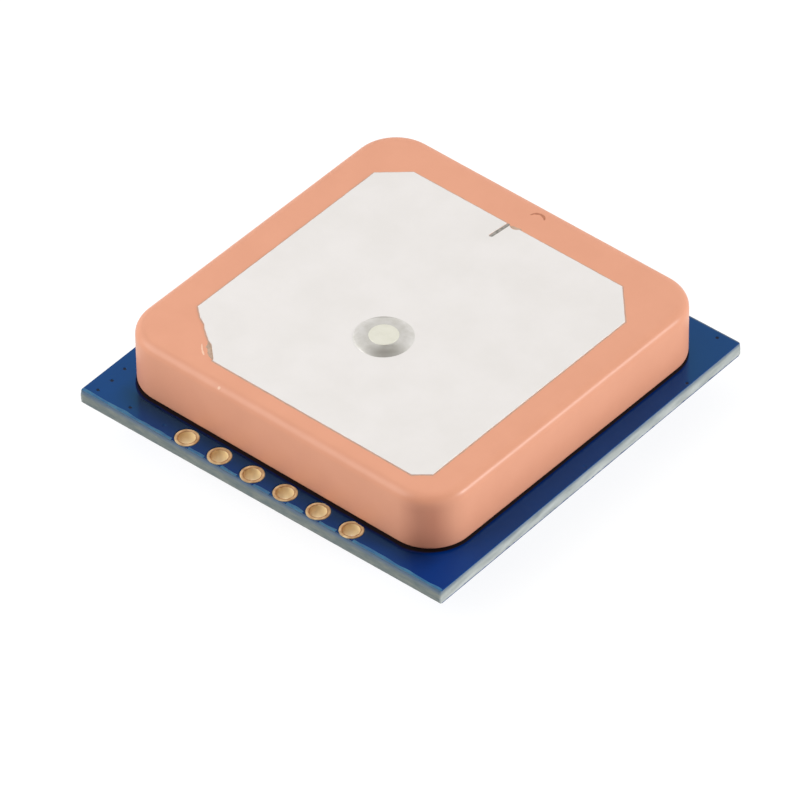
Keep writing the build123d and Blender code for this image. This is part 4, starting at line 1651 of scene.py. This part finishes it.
    def outline(self, inset_mm: float, height: float) -> Loop:
        """Gives the block's outline at one height.

        Args:
            inset_mm: How far the outline lies inside the block's full one.
            height: Height in metres.

        Returns:
            The points, anticlockwise, as many at every inset.
        """
        corner_steps, side_steps = 14, 52
        radius = self.corner_mm - inset_mm
        centre = self.side_mm / 2 - self.corner_mm
        points = []
        for quarter in range(4):
            turn = Matrix.Rotation(quarter * math.pi / 2, 2)
            arc = [math.pi / 2 * i / corner_steps for i in range(corner_steps + 1)]
            flat = [Vector((centre + radius * math.cos(t), centre + radius * math.sin(t))) for t in arc]
            following = Vector((-centre, centre + radius))
            flat += [flat[-1].lerp(following, i / side_steps) for i in range(1, side_steps)]
            points += [turn @ p for p in flat]
        return [self.on_block(p.x, p.y, height) for p in points]

    def sunk(self, loop: Loop) -> Loop:
        """Moves the points of a ring inwards by a slow, slight unevenness."""
        depth = self.unevenness_mm * MM
        return offset_loop(loop, lambda p: -depth * (0.5 + 0.5 * wobble(p, 3.0)))

    def block(self) -> None:
        """Builds the ceramic block with its rounded edges and slightly uneven faces."""
        low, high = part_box("antenna_ceramic")
        foot, top = self.foot_mm, self.rounding_mm
        profile = []
        for i in range(4):
            turn = math.pi / 2 * i / 3
            profile.append((foot * (1 - math.sin(turn)), low.z + foot * MM * (1 - math.cos(turn))))
        for share in (0.02, 0.05, 0.09, 0.2, 0.35, 0.5, 0.7, 0.88):
            height = low.z + foot * MM + share * (high.z - low.z - (foot + top) * MM)
            profile.append((0.0, height))
        for i in range(11):
            turn = math.pi / 2 * i / 10
            profile.append((top * (1 - math.cos(turn)), high.z - top * MM * (1 - math.sin(turn))))
        profile += [(inset, high.z) for inset in (0.8, 1.1, 1.7, 2.4)]
        maker = MeshMaker()
        rings = maker.tube([self.sunk(self.outline(inset, height)) for inset, height in profile])
        maker.cap(rings[0], Side.BOTTOM)
        maker.cap(rings[-1], Side.TOP)
        turn = math.radians(self.corner_shade_azimuth_deg)
        radius = self.corner_mm * MM
        corner = Vector((high.x - radius * (1 - math.sin(turn)), low.y + radius * (1 - math.cos(turn))))

        def soil_and_corner_shade(p: Vector) -> float:
            """Gives how dark a place is: the foot, partly adhesive and partly painted contact shade, and the
            painted shade on the front corner.

            Args:
                p: The place on the block.

            Returns:
                The share of the dark tone.
            """
            # The foot: partly adhesive crept up from the tape, partly painted contact shade
            foot_reach = self.soil_and_shade_mm * MM * (1 + 0.5 * wobble(p, 1.5))
            rising = limited(1.4 - (p.z - low.z) / foot_reach)
            # Painted shade on the front corner, where little light falls
            near = limited(1.5 * (1 - (p.xy - corner).length / (self.corner_shade_reach_mm * MM)))
            below = limited((high.z - p.z) / (self.corner_shade_fade_mm * MM))
            return max(self.soil_and_shade_share * rising, self.corner_shade_share * near * below)

        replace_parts(maker.piece("ceramic_block", PRESSED_CERAMIC, stain=soil_and_corner_shade), "antenna_ceramic")

    def glue_and_shade_line(self) -> None:
        """Builds the dark, uneven film round the block's foot: partly adhesive squeezed out, partly painted
        contact shade and dark reflection.
        """
        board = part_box("solder_mask_top")[1].z
        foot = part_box("antenna_ceramic")[0].z

        def bead(inset_mm: float, share: float, height: float) -> Loop:
            """Gives one ring of the bead, moved out from the block by a share of the bead's width."""
            ring = self.outline(inset_mm, height)
            return offset_loop(ring, lambda p: share * self.glue_and_shade_width(p) * MM)

        # Painted contact shade and dark reflection, partly adhesive: darkest at the foot, widest along the
        # front
        film = self.glue_and_shade_film_mm * MM
        maker = MeshMaker()
        maker.tube(
            [
                bead(0.3, 0.0, board),
                bead(0.0, 1.0, board),
                bead(0.0, 0.95, board + 0.1 * film),
                bead(0.0, 0.5, board + 0.3 * film),
                bead(0.0, 0.2, board + film),
                bead(0.06, 0.0, board + 0.6 * (foot - board)),
                bead(0.12, 0.0, foot + 0.03 * MM),
                bead(0.3, 0.0, foot + 0.02 * MM),
            ],
            closed=True,
        )
        maker.piece("glue_and_shade_line", ADHESIVE_AND_FOOT_SHADE, stain=lambda p: max(0.0, 1 - (p.z - board) / film))

    def glue_and_shade_width(self, place: Vector) -> float:
        """Gives how far the dark film of adhesive and painted shade reaches out at a place: most of it along
        the front.

        Args:
            place: The place.

        Returns:
            The distance in millimetres.
        """
        front = limited(-place.y / MM - (self.side_mm / 2 - 1.5))
        share = self.glue_and_shade_behind + (1 - self.glue_and_shade_behind) * front
        return self.glue_and_shade_mm * share * (0.75 + 0.6 * wobble(place, 1.1))

    def silver_edge(self) -> Loop:
        """Reads the silver's outline, slot and all, and makes it as ragged as a printed edge.

        Returns:
            The outline, anticlockwise.
        """
        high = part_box("antenna_electrode")[1]
        loop = anticlockwise(outlines(self.nodes["antenna_electrode"], high.z, Side.TOP)[0])
        corner = self.on_block(*self.scraped_at_mm, high.z)

        def stray(p: Vector) -> float:
            """Gives how far a place on the outline moves outwards, most near the scraped corner.

            Args:
                p: The place.

            Returns:
                The distance in metres, negative where it moves in.
            """
            near = limited(1 - (p - corner).length / (self.scraped_reach_mm * MM))
            fine = self.ragged_mm * MM * wobble(p, 0.35)
            return fine + near * self.scrape_mm * MM * wobble(p, 0.45)

        return offset_loop(resampled(loop, self.ragged_step_mm * MM), stray)

    def silver(self, edge: Loop) -> None:
        """Builds the silver layer with a rounded, ragged edge.

        Args:
            edge: The silver's outline.
        """
        low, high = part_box("antenna_electrode")
        thick = high.z - low.z
        maker = MeshMaker()
        rings = maker.tube(
            [
                lifted(offset_loop(edge, lambda p: -inset_mm * MM), low.z + share * thick)
                for share, inset_mm in self.silver_edge_mm
            ]
        )
        maker.sheet([rings[-1]], Side.TOP)
        maker.sheet([rings[0]], Side.BOTTOM)
        made = maker.piece("silver_patch", PRINTED_SILVER, stain=lambda p: (high.z - p.z) / thick)
        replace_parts(made, "antenna_electrode")

    def bled_line(self, edge: Loop) -> None:
        """Builds the thin tan line of glass that has bled out of the silver's edge.

        Args:
            edge: The silver's outline.
        """
        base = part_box("antenna_ceramic")[1].z
        film = self.film_mm * MM
        bleed = self.bleed_mm * MM
        under = 0.01 * MM
        maker = MeshMaker()
        maker.tube(
            [
                lifted(offset_loop(edge, lambda p: bleed * (0.8 + 0.4 * wobble(p, 0.6))), base - film),
                lifted(offset_loop(edge, lambda p: bleed * (0.7 + 0.35 * wobble(p, 0.6))), base + 0.3 * film),
                lifted(offset_loop(edge, lambda p: -under), base + film),
                lifted(offset_loop(edge, lambda p: -under), base - film),
            ],
            closed=True,
        )
        maker.piece("bled_glass_line", BLED_FRIT)

    def ribbon(self, mark: Mark) -> None:
        """Builds one mark.

        Args:
            mark: The mark.
        """
        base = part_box("antenna_ceramic")[1].z
        film = self.film_mm * MM
        points = [self.on_block(x, y, base) for x, y in mark.line_mm]
        step = 0.05 * MM
        dense = []
        for a, b in zip(points, points[1:]):
            count = max(2, math.ceil((b - a).length / step))
            dense += [a.lerp(b, i / count) for i in range(count)]
        dense.append(points[-1])
        last = len(dense) - 1
        left, right = [], []
        for i, p in enumerate(dense):
            ahead = dense[min(i + 1, last)] - dense[max(i - 1, 0)]
            across = Vector((-ahead.y, ahead.x, 0)).normalized()
            # Nearly to a point at both ends, and broad between them
            share = math.sin(math.pi * (0.04 + 0.92 * i / last)) ** 0.6
            half = mark.width_mm * MM / 2 * share * (0.85 + 0.4 * wobble(p, 0.2))
            left.append(p + across * half)
            right.append(p - across * half)
        loop = anticlockwise(right + left[::-1])
        top = self.narrowed(dense, loop, base + film)
        maker = MeshMaker()
        rings = maker.tube([lifted(loop, base - film), lifted(loop, base + 0.4 * film), top])
        maker.sheet([rings[-1]], Side.TOP)
        maker.sheet([rings[0]], Side.BOTTOM)
        maker.piece(mark.name, mark.finish)

    def narrowed(self, line: Loop, loop: Loop, height: float) -> Loop:
        """Draws a ribbon's outline a third of the way in to its middle line.

        Args:
            line: The middle line.
            loop: The ribbon's outline.
            height: Height of the narrowed outline.

        Returns:
            The narrowed outline, point for point.
        """
        made = []
        for p in loop:
            nearest = min(line, key=lambda q: (q.xy - p.xy).length)
            made.append(Vector((*p.xy.lerp(nearest.xy, 0.33), height)))
        return made

    def edge_chip(self) -> None:
        """Builds the pale speck on the rounded front edge of the block."""
        chip = self.chip
        x_mm, y_mm = chip.place_mm
        centre = Vector((x_mm * MM, y_mm * MM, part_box("antenna_ceramic")[1].z - chip.below_mm * MM))
        lean = Matrix.Rotation(math.radians(chip.lean_deg), 3, "X")
        maker = MeshMaker()
        rings = []
        steps = 5
        for i in range(steps):
            turn = math.pi / 2 * i / steps
            reach = chip.radius_mm * MM * math.cos(turn)
            rise = chip.height_mm * MM * math.sin(turn) - chip.rooted_mm * MM
            flat = circle(Vector(), reach, rise, count=20)
            ring = offset_loop(flat, lambda p: chip.stray_mm * MM * wobble(p, 0.12))
            rings.append([centre + lean @ p for p in ring])
        made = maker.tube(rings)
        maker.cap(made[0], Side.BOTTOM)
        maker.cap(made[-1], Side.TOP)
        maker.piece("edge_chip", PALE_CHIP_AND_HIGHLIGHT)


@dataclass(frozen=True)
class ShadeMark:
    """A mark of painted shade on the solder, with its places as shares of the solder's radius.

    Attributes:
        share: How dark it is.
        start: Where it starts, measured from the pin's axis towards the shaded side.
        start_fade: Over what length it comes in there, negative where it lies on the far side.
        half_width: Half its width.
        aside: Where its middle is, square to the shaded side.
        end: Where it ends, past the solder's edge unless a mark says otherwise.
        end_fade: Over what length it goes out there.
    """

    share: float
    start: float
    start_fade: float
    half_width: float
    aside: float = 0.0
    end: float = 2.0
    end_fade: float = 1.0

    def level(self, front: float, aside: float) -> float:
        """Gives how dark the mark makes a place, given towards the shaded side and square to it."""
        along = limited((front - self.start) / self.start_fade) * limited((self.end - front) / self.end_fade)
        return self.share * along * max(0.0, 1 - ((aside - self.aside) / self.half_width) ** 2)


@dataclass
class Feed:
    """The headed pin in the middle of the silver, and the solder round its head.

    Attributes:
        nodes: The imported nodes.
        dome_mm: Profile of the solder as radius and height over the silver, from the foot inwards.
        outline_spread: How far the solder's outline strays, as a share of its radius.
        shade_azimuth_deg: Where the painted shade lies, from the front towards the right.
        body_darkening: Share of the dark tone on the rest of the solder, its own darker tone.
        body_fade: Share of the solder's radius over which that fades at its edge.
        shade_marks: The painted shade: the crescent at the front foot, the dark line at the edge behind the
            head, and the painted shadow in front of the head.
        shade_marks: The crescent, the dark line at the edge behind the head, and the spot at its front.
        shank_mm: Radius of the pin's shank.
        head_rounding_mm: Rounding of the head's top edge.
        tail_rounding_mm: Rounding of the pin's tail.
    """

    nodes: dict[str, bpy.types.Object]
    dome_mm: Pairs = (
        (1.83, 0.0),
        (1.815, 0.012),
        (1.77, 0.032),
        (1.7, 0.056),
        (1.6, 0.082),
        (1.48, 0.106),
        (1.34, 0.129),
        (1.2, 0.149),
        (1.06, 0.166),
        (0.96, 0.176),
        (0.91, 0.174),
        (0.89, 0.15),
        (0.89, 0.0),
    )
    outline_spread: float = 0.018
    shade_azimuth_deg: float = 42.0
    body_darkening: float = 0.24
    body_fade: float = 0.3
    shade_marks: tuple[ShadeMark, ...] = (
        ShadeMark(share=0.72, start=0.4, start_fade=0.4, half_width=0.85),
        ShadeMark(share=0.55, start=-0.85, start_fade=-0.1, half_width=0.6),
        ShadeMark(
            share=0.35, start=0.46, start_fade=0.06, half_width=0.3, aside=0.12, end=0.62, end_fade=0.1
        ),
    )
    shank_mm: float = 0.5
    head_rounding_mm: float = 0.05
    tail_rounding_mm: float = 0.12

    def build(self) -> None:
        """Builds the pin and the solder on the silver, and dresses the solder below."""
        dress(self.nodes, {"feed_solder_bottom": FLOWED_SOLDER})
        self.pin()
        self.solder()

    def centre(self) -> Vector:
        """Gives the pin's axis on the silver."""
        low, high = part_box("feed_pin")
        return Vector(((low.x + high.x) / 2, (low.y + high.y) / 2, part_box("antenna_electrode")[1].z))

    def pin(self) -> None:
        """Builds the pin as headed from wire, with its flat head and rounded tail."""
        low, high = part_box("feed_pin")
        centre = self.centre()
        head = (high.x - low.x) / 2
        shank = self.shank_mm * MM
        rounding, tail = self.head_rounding_mm * MM, self.tail_rounding_mm * MM
        profile = [
            (0.4 * shank, low.z),
            (shank - tail, low.z + 0.1 * tail),
            (shank - 0.25 * tail, low.z + 0.5 * tail),
            (shank, low.z + 1.3 * tail),
            (shank, centre.z),
            (head, centre.z),
            (head, high.z - rounding),
            (head - 0.13 * rounding, high.z - 0.5 * rounding),
            (head - 0.5 * rounding, high.z - 0.13 * rounding),
            (head - rounding, high.z),
            (0.6 * head, high.z),
        ]
        maker = MeshMaker()
        rings = maker.tube([circle(centre, r, z, count=72) for r, z in profile])
        maker.cap(rings[0], Side.BOTTOM)
        maker.cap(rings[-1], Side.TOP)
        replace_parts(maker.piece("headed_pin", TINNED_HEAD), "feed_pin")

    def solder(self) -> None:
        """Builds the low uneven dome of solder round the head."""
        centre = self.centre()
        maker = MeshMaker()
        inner = self.dome_mm[-1][0]
        outer = self.dome_mm[0][0]
        rings = []
        for radius, rise in self.dome_mm:
            reach = (radius - inner) / (outer - inner)
            ring = []
            for p in circle(centre, radius * MM, centre.z + rise * MM, count=96):
                out = p.xy - centre.xy
                # Read on one circle for all rings, so that the outline strays as a whole
                bulge = wobble(Vector((*(out.normalized() * 1.1 * MM), 0)), 1.0)
                stray = 1 + self.outline_spread * reach * bulge
                level = rise * (1 + 0.1 * reach * wobble(p, 1.3))
                ring.append(Vector((*(centre.xy + out * stray), centre.z + level * MM)))
            rings.append(ring)
        maker.tube(rings, closed=True)
        edge = outer * MM
        made = maker.piece("feed_solder_dome", WETTED_SOLDER, lambda p: self.tone_and_shade((p.xy - centre.xy) / edge))
        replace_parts(made, "feed_solder_top")

    def tone_and_shade(self, place: Vector) -> float:
        """Gives how dark a place on the solder is: its own darker body and the painted shade.

        Args:
            place: The place from the pin's axis, as a share of the solder's radius.

        Returns:
            The share of the dark tone.
        """
        turn = math.radians(self.shade_azimuth_deg)
        front = place.dot(Vector((math.sin(turn), -math.cos(turn))))
        aside = place.dot(Vector((math.cos(turn), math.sin(turn))))
        # The body's darker tone is the solder's own; the marks are painted shade
        body = self.body_darkening * limited((1.0 - place.length) / self.body_fade)
        return body + sum(mark.level(front, aside) for mark in self.shade_marks)


@dataclass
class Underside:
    """The receiver's can and the small parts below the board.

    Attributes:
        nodes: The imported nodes.
    """

    nodes: dict[str, bpy.types.Object]

    def build(self) -> None:
        """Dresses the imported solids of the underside."""
        dress(
            self.nodes,
            {
                "shield_can": TINNED_SHEET,
                "shield_solder": FLOWED_SOLDER,
                "component_solder": FLOWED_SOLDER,
                "solder_lands": FLOWED_SOLDER,
                "receiver_chip": MOULDED_EPOXY,
                "memory_chip": MOULDED_EPOXY,
                "regulator": MOULDED_EPOXY,
                "low_noise_amplifier": MOULDED_EPOXY,
                "receiver_contacts": TIN_PLATING,
                "memory_leads": TIN_PLATING,
                "regulator_leads": TIN_PLATING,
                "capacitor_ends": TIN_PLATING,
                "resistor_ends": TIN_PLATING,
                "inductor_ends": TIN_PLATING,
                "backup_cell_tabs": TIN_PLATING,
                "capacitor_bodies": CAPACITOR_CERAMIC,
                "resistor_bodies": RESISTOR_GLAZE,
                "inductor_bodies": SINTERED_FERRITE,
                "band_filter": PACKAGE_CERAMIC,
                "oscillator_base": PACKAGE_CERAMIC,
                "clock_crystal_base": PACKAGE_CERAMIC,
                "oscillator_lid": TINNED_SHEET,
                "clock_crystal_lid": TINNED_SHEET,
                "backup_cell": NICKEL_STEEL,
                "status_lamp_base": LAMP_PLASTIC,
                "status_lamp_lens": LAMP_RESIN,
            },
        )


def towards(azimuth_deg: float, elevation_deg: float) -> Vector:
    """Gives the direction from the module to a stand round it.

    Args:
        azimuth_deg: Where the stand is, from the front towards the right.
        elevation_deg: How high it is.

    Returns:
        The direction, one long.
    """
    azimuth, elevation = math.radians(azimuth_deg), math.radians(elevation_deg)
    level = math.cos(elevation)
    return Vector((math.sin(azimuth) * level, -math.cos(azimuth) * level, math.sin(elevation)))


@dataclass(frozen=True)
class SoftLamp:
    """A square lamp with a diffuser, turned to the module.

    Attributes:
        name: Its name.
        azimuth_deg: Where it stands, from the front towards the right.
        elevation_deg: How high it stands.
        side_mm: Side of its diffuser.
        watts: Its power.
        distance_mm: Its distance from the module.
    """

    name: str
    azimuth_deg: float
    elevation_deg: float
    side_mm: float
    watts: float
    distance_mm: float = 500.0

    def build(self) -> None:
        """Hangs the lamp."""
        data = bpy.data.lights.new(self.name, "AREA")
        data.size = self.side_mm * MM
        data.energy = self.watts
        made = bpy.data.objects.new(self.name, data)
        made.location = towards(self.azimuth_deg, self.elevation_deg) * self.distance_mm * MM
        made.rotation_mode = "QUATERNION"
        made.rotation_quaternion = (-made.location).to_track_quat("-Z", "Y")
        bpy.context.scene.collection.objects.link(made)


@dataclass
class Studio:
    """The camera, the pale surroundings, the soft lamps and the floor.

    Attributes:
        focal_px: Focal length in pixels of the 800-pixel frame.
        frame_px: Width of the frame.
        azimuth_deg: Where the camera stands, from the front towards the right.
        elevation_deg: How high it stands.
        roll_deg: How far it is rolled.
        distance_mm: Its distance from the middle of the board's top, before its shift.
        slide_mm: Its shift along its own right and up.
        target_height_mm: Height of the board's top.
        sensor_mm: Width of its sensor.
        nearest_mm: Nearest thing that it sees.
        sky_azimuth_deg: Where the bright side of the room is, from the front towards the right.
        sky_elevation_deg: How high its middle is.
        sky_levels: Brightness of the room's dim side and of its bright side.
        sky_turn: Cosines of the angles from that middle at which the room is dim and bright.
        table_level: Brightness of the white table that lights the module from below.
        horizon: Height, up and down, over which the table turns into the room.
        lamps: A broad one on the left, a far one at the right back, a weak low one at the right front, and
            one for the underside.
        floor_side_mm: Side of the floor.
        floor_drop_mm: How far the floor lies below the module.
        paper_tone: Colour of the floor's paper, which the lamps light.
        paper_glow: Brightness that it has without them, so that it clips to white where nothing shades it.
    """

    focal_px: float = 8477.8586
    frame_px: float = 800
    azimuth_deg: float = 40.384318
    elevation_deg: float = 41.891826
    roll_deg: float = -0.837980
    distance_mm: float = 505.233445
    slide_mm: tuple[float, float] = (-0.701139, -2.022272)
    target_height_mm: float = 3.5
    sensor_mm: float = 36.0
    nearest_mm: float = 10.0
    sky_azimuth_deg: float = 220.0
    sky_elevation_deg: float = 40.0
    sky_levels: tuple[float, float] = (0.1, 0.9)
    sky_turn: tuple[float, float] = (-0.1, 0.8)
    table_level: float = 0.84
    horizon: float = 0.03
    lamps: tuple[SoftLamp, ...] = (
        SoftLamp("left_lamp", -42.0, 33.0, 400.0, 1.86),
        SoftLamp("right_lamp", 117.0, 15.5, 211.0, 9.2, distance_mm=1200.0),
        SoftLamp("front_lamp", 72.0, 4.0, 400.0, 0.28),
        SoftLamp("lower_lamp", 0.0, -90.0, 200.0, 1.0),
    )
    floor_side_mm: float = 900
    floor_drop_mm: float = 0.05
    paper_tone: str = "#7C7C7C"
    paper_glow: float = 0.87

    def build(self) -> None:
        """Sets up everything round the module."""
        scene = bpy.context.scene
        scene.view_settings.view_transform = "Standard"
        self.camera(scene)
        self.surroundings(scene)
        self.floor(scene)
        for lamp in self.lamps:
            lamp.build()

    def camera(self, scene: bpy.types.Scene) -> None:
        """Places the camera where the photograph was taken from.

        Args:
            scene: The scene that gets it.
        """
        back = towards(self.azimuth_deg, self.elevation_deg)
        right = (-back).cross(Vector((0, 0, 1))).normalized()
        up = right.cross(-back)
        roll = math.radians(self.roll_deg)
        rolled_right = right * math.cos(roll) + up * math.sin(roll)
        rolled_up = up * math.cos(roll) - right * math.sin(roll)
        place = back * self.distance_mm + right * self.slide_mm[0] + up * self.slide_mm[1]
        place.z += self.target_height_mm
        data = bpy.data.cameras.new("camera")
        data.sensor_width = self.sensor_mm
        data.lens = self.focal_px * data.sensor_width / self.frame_px
        data.clip_start = self.nearest_mm * MM
        made = bpy.data.objects.new("camera", data)
        axes = Matrix((rolled_right, rolled_up, back)).transposed().to_4x4()
        made.matrix_world = Matrix.Translation(place * MM) @ axes
        scene.collection.objects.link(made)
        scene.camera = made

    def surroundings(self, scene: bpy.types.Scene) -> None:
        """Makes the world: white to the eye, and to the light a room over a pale table, bright at the back.

        Args:
            scene: The scene that gets it.
        """
        world = bpy.data.worlds.new("studio")
        scene.world = world
        world.use_nodes = True
        tree = world.node_tree
        tree.nodes.clear()
        direction = add_node(tree, "TexCoord").outputs["Generated"]
        sides = {0: direction, 1: tuple(towards(self.sky_azimuth_deg, self.sky_elevation_deg))}
        facing = add_node(tree, "VectorMath", {"operation": "DOT_PRODUCT"}, sides).outputs["Value"]
        dim_at, bright_at = self.sky_turn
        dim, bright = self.sky_levels
        reach = {
            "Value": facing,
            "From Min": dim_at,
            "From Max": bright_at,
            "To Min": dim,
            "To Max": bright,
        }
        sky = add_node(tree, "MapRange", {"interpolation_type": "SMOOTHSTEP"}, reach).outputs["Result"]
        height = add_node(tree, "SeparateXYZ", inputs={0: direction}).outputs["Z"]
        rise = {"Value": height, "From Min": -self.horizon, "From Max": self.horizon}
        above = add_node(tree, "MapRange", inputs=rise).outputs["Result"]
        halves = {SHARE_IN: above, LEVEL_A: self.table_level, LEVEL_B: sky}
        room = add_node(tree, "Mix", {"data_type": "FLOAT"}, halves).outputs[LEVEL_OUT]
        path = add_node(tree, "LightPath").outputs
        rays = {0: path["Is Camera Ray"], 1: path["Is Transmission Ray"]}
        seen = add_node(tree, "Math", {"operation": "MAXIMUM"}, rays).outputs["Value"]
        white_or_room = {SHARE_IN: seen, LEVEL_A: room, LEVEL_B: 1.0}
        level = add_node(tree, "Mix", {"data_type": "FLOAT"}, white_or_room).outputs[LEVEL_OUT]
        light = add_node(tree, "Background", inputs={"Color": (1, 1, 1, 1), "Strength": level})
        add_node(tree, "OutputWorld", inputs={"Surface": light.outputs["Background"]})

    def floor(self, scene: bpy.types.Scene) -> None:
        """Lays the white floor, which shows the module's soft shadow and can't be seen from below.

        Args:
            scene: The scene that gets it.
        """
        half = self.floor_side_mm * MM / 2
        height = -self.floor_drop_mm * MM
        data = bpy.data.meshes.new("floor")
        corners = [(-half, -half, height), (half, -half, height), (half, half, height), (-half, half, height)]
        data.from_pydata(corners, [], [(0, 1, 2, 3)])
        made = bpy.data.objects.new("floor", data)
        scene.collection.objects.link(made)
        data.materials.append(self.floor_material())
        made.visible_diffuse = False
        made.visible_glossy = False
        made.visible_transmission = False
        made.visible_shadow = False

    def floor_material(self) -> bpy.types.Material:
        """Makes white paper that is clear from below.

        Returns:
            The material.
        """
        made = bpy.data.materials.new("white_paper")
        made.use_nodes = True
        tree = made.node_tree
        tree.nodes.clear()
        matt = add_node(tree, "BsdfDiffuse", inputs={"Color": linear(self.paper_tone)})
        glow = add_node(tree, "Emission", inputs={"Color": (1, 1, 1, 1), "Strength": self.paper_glow})
        both = add_node(tree, "AddShader", inputs={0: matt.outputs[0], 1: glow.outputs[0]})
        clear = add_node(tree, "BsdfTransparent")
        below = add_node(tree, "NewGeometry").outputs["Backfacing"]
        seen = add_node(tree, "MixShader", inputs={0: below, 1: both.outputs[0], 2: clear.outputs[0]})
        add_node(tree, "OutputMaterial", inputs={"Surface": seen.outputs[0]})
        return made


def main() -> None:
    """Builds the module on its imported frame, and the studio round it."""
    logging.basicConfig(level=logging.INFO, format="%(name)s: %(message)s")
    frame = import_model()
    nodes = frame["nodes"]
    Studio().build()
    Board(nodes).build()
    Tracks().build()
    PinRow(nodes).build()
    Antenna(nodes).build()
    Feed(nodes).build()
    Underside(nodes).build()


if __name__ == "__main__":
    main()
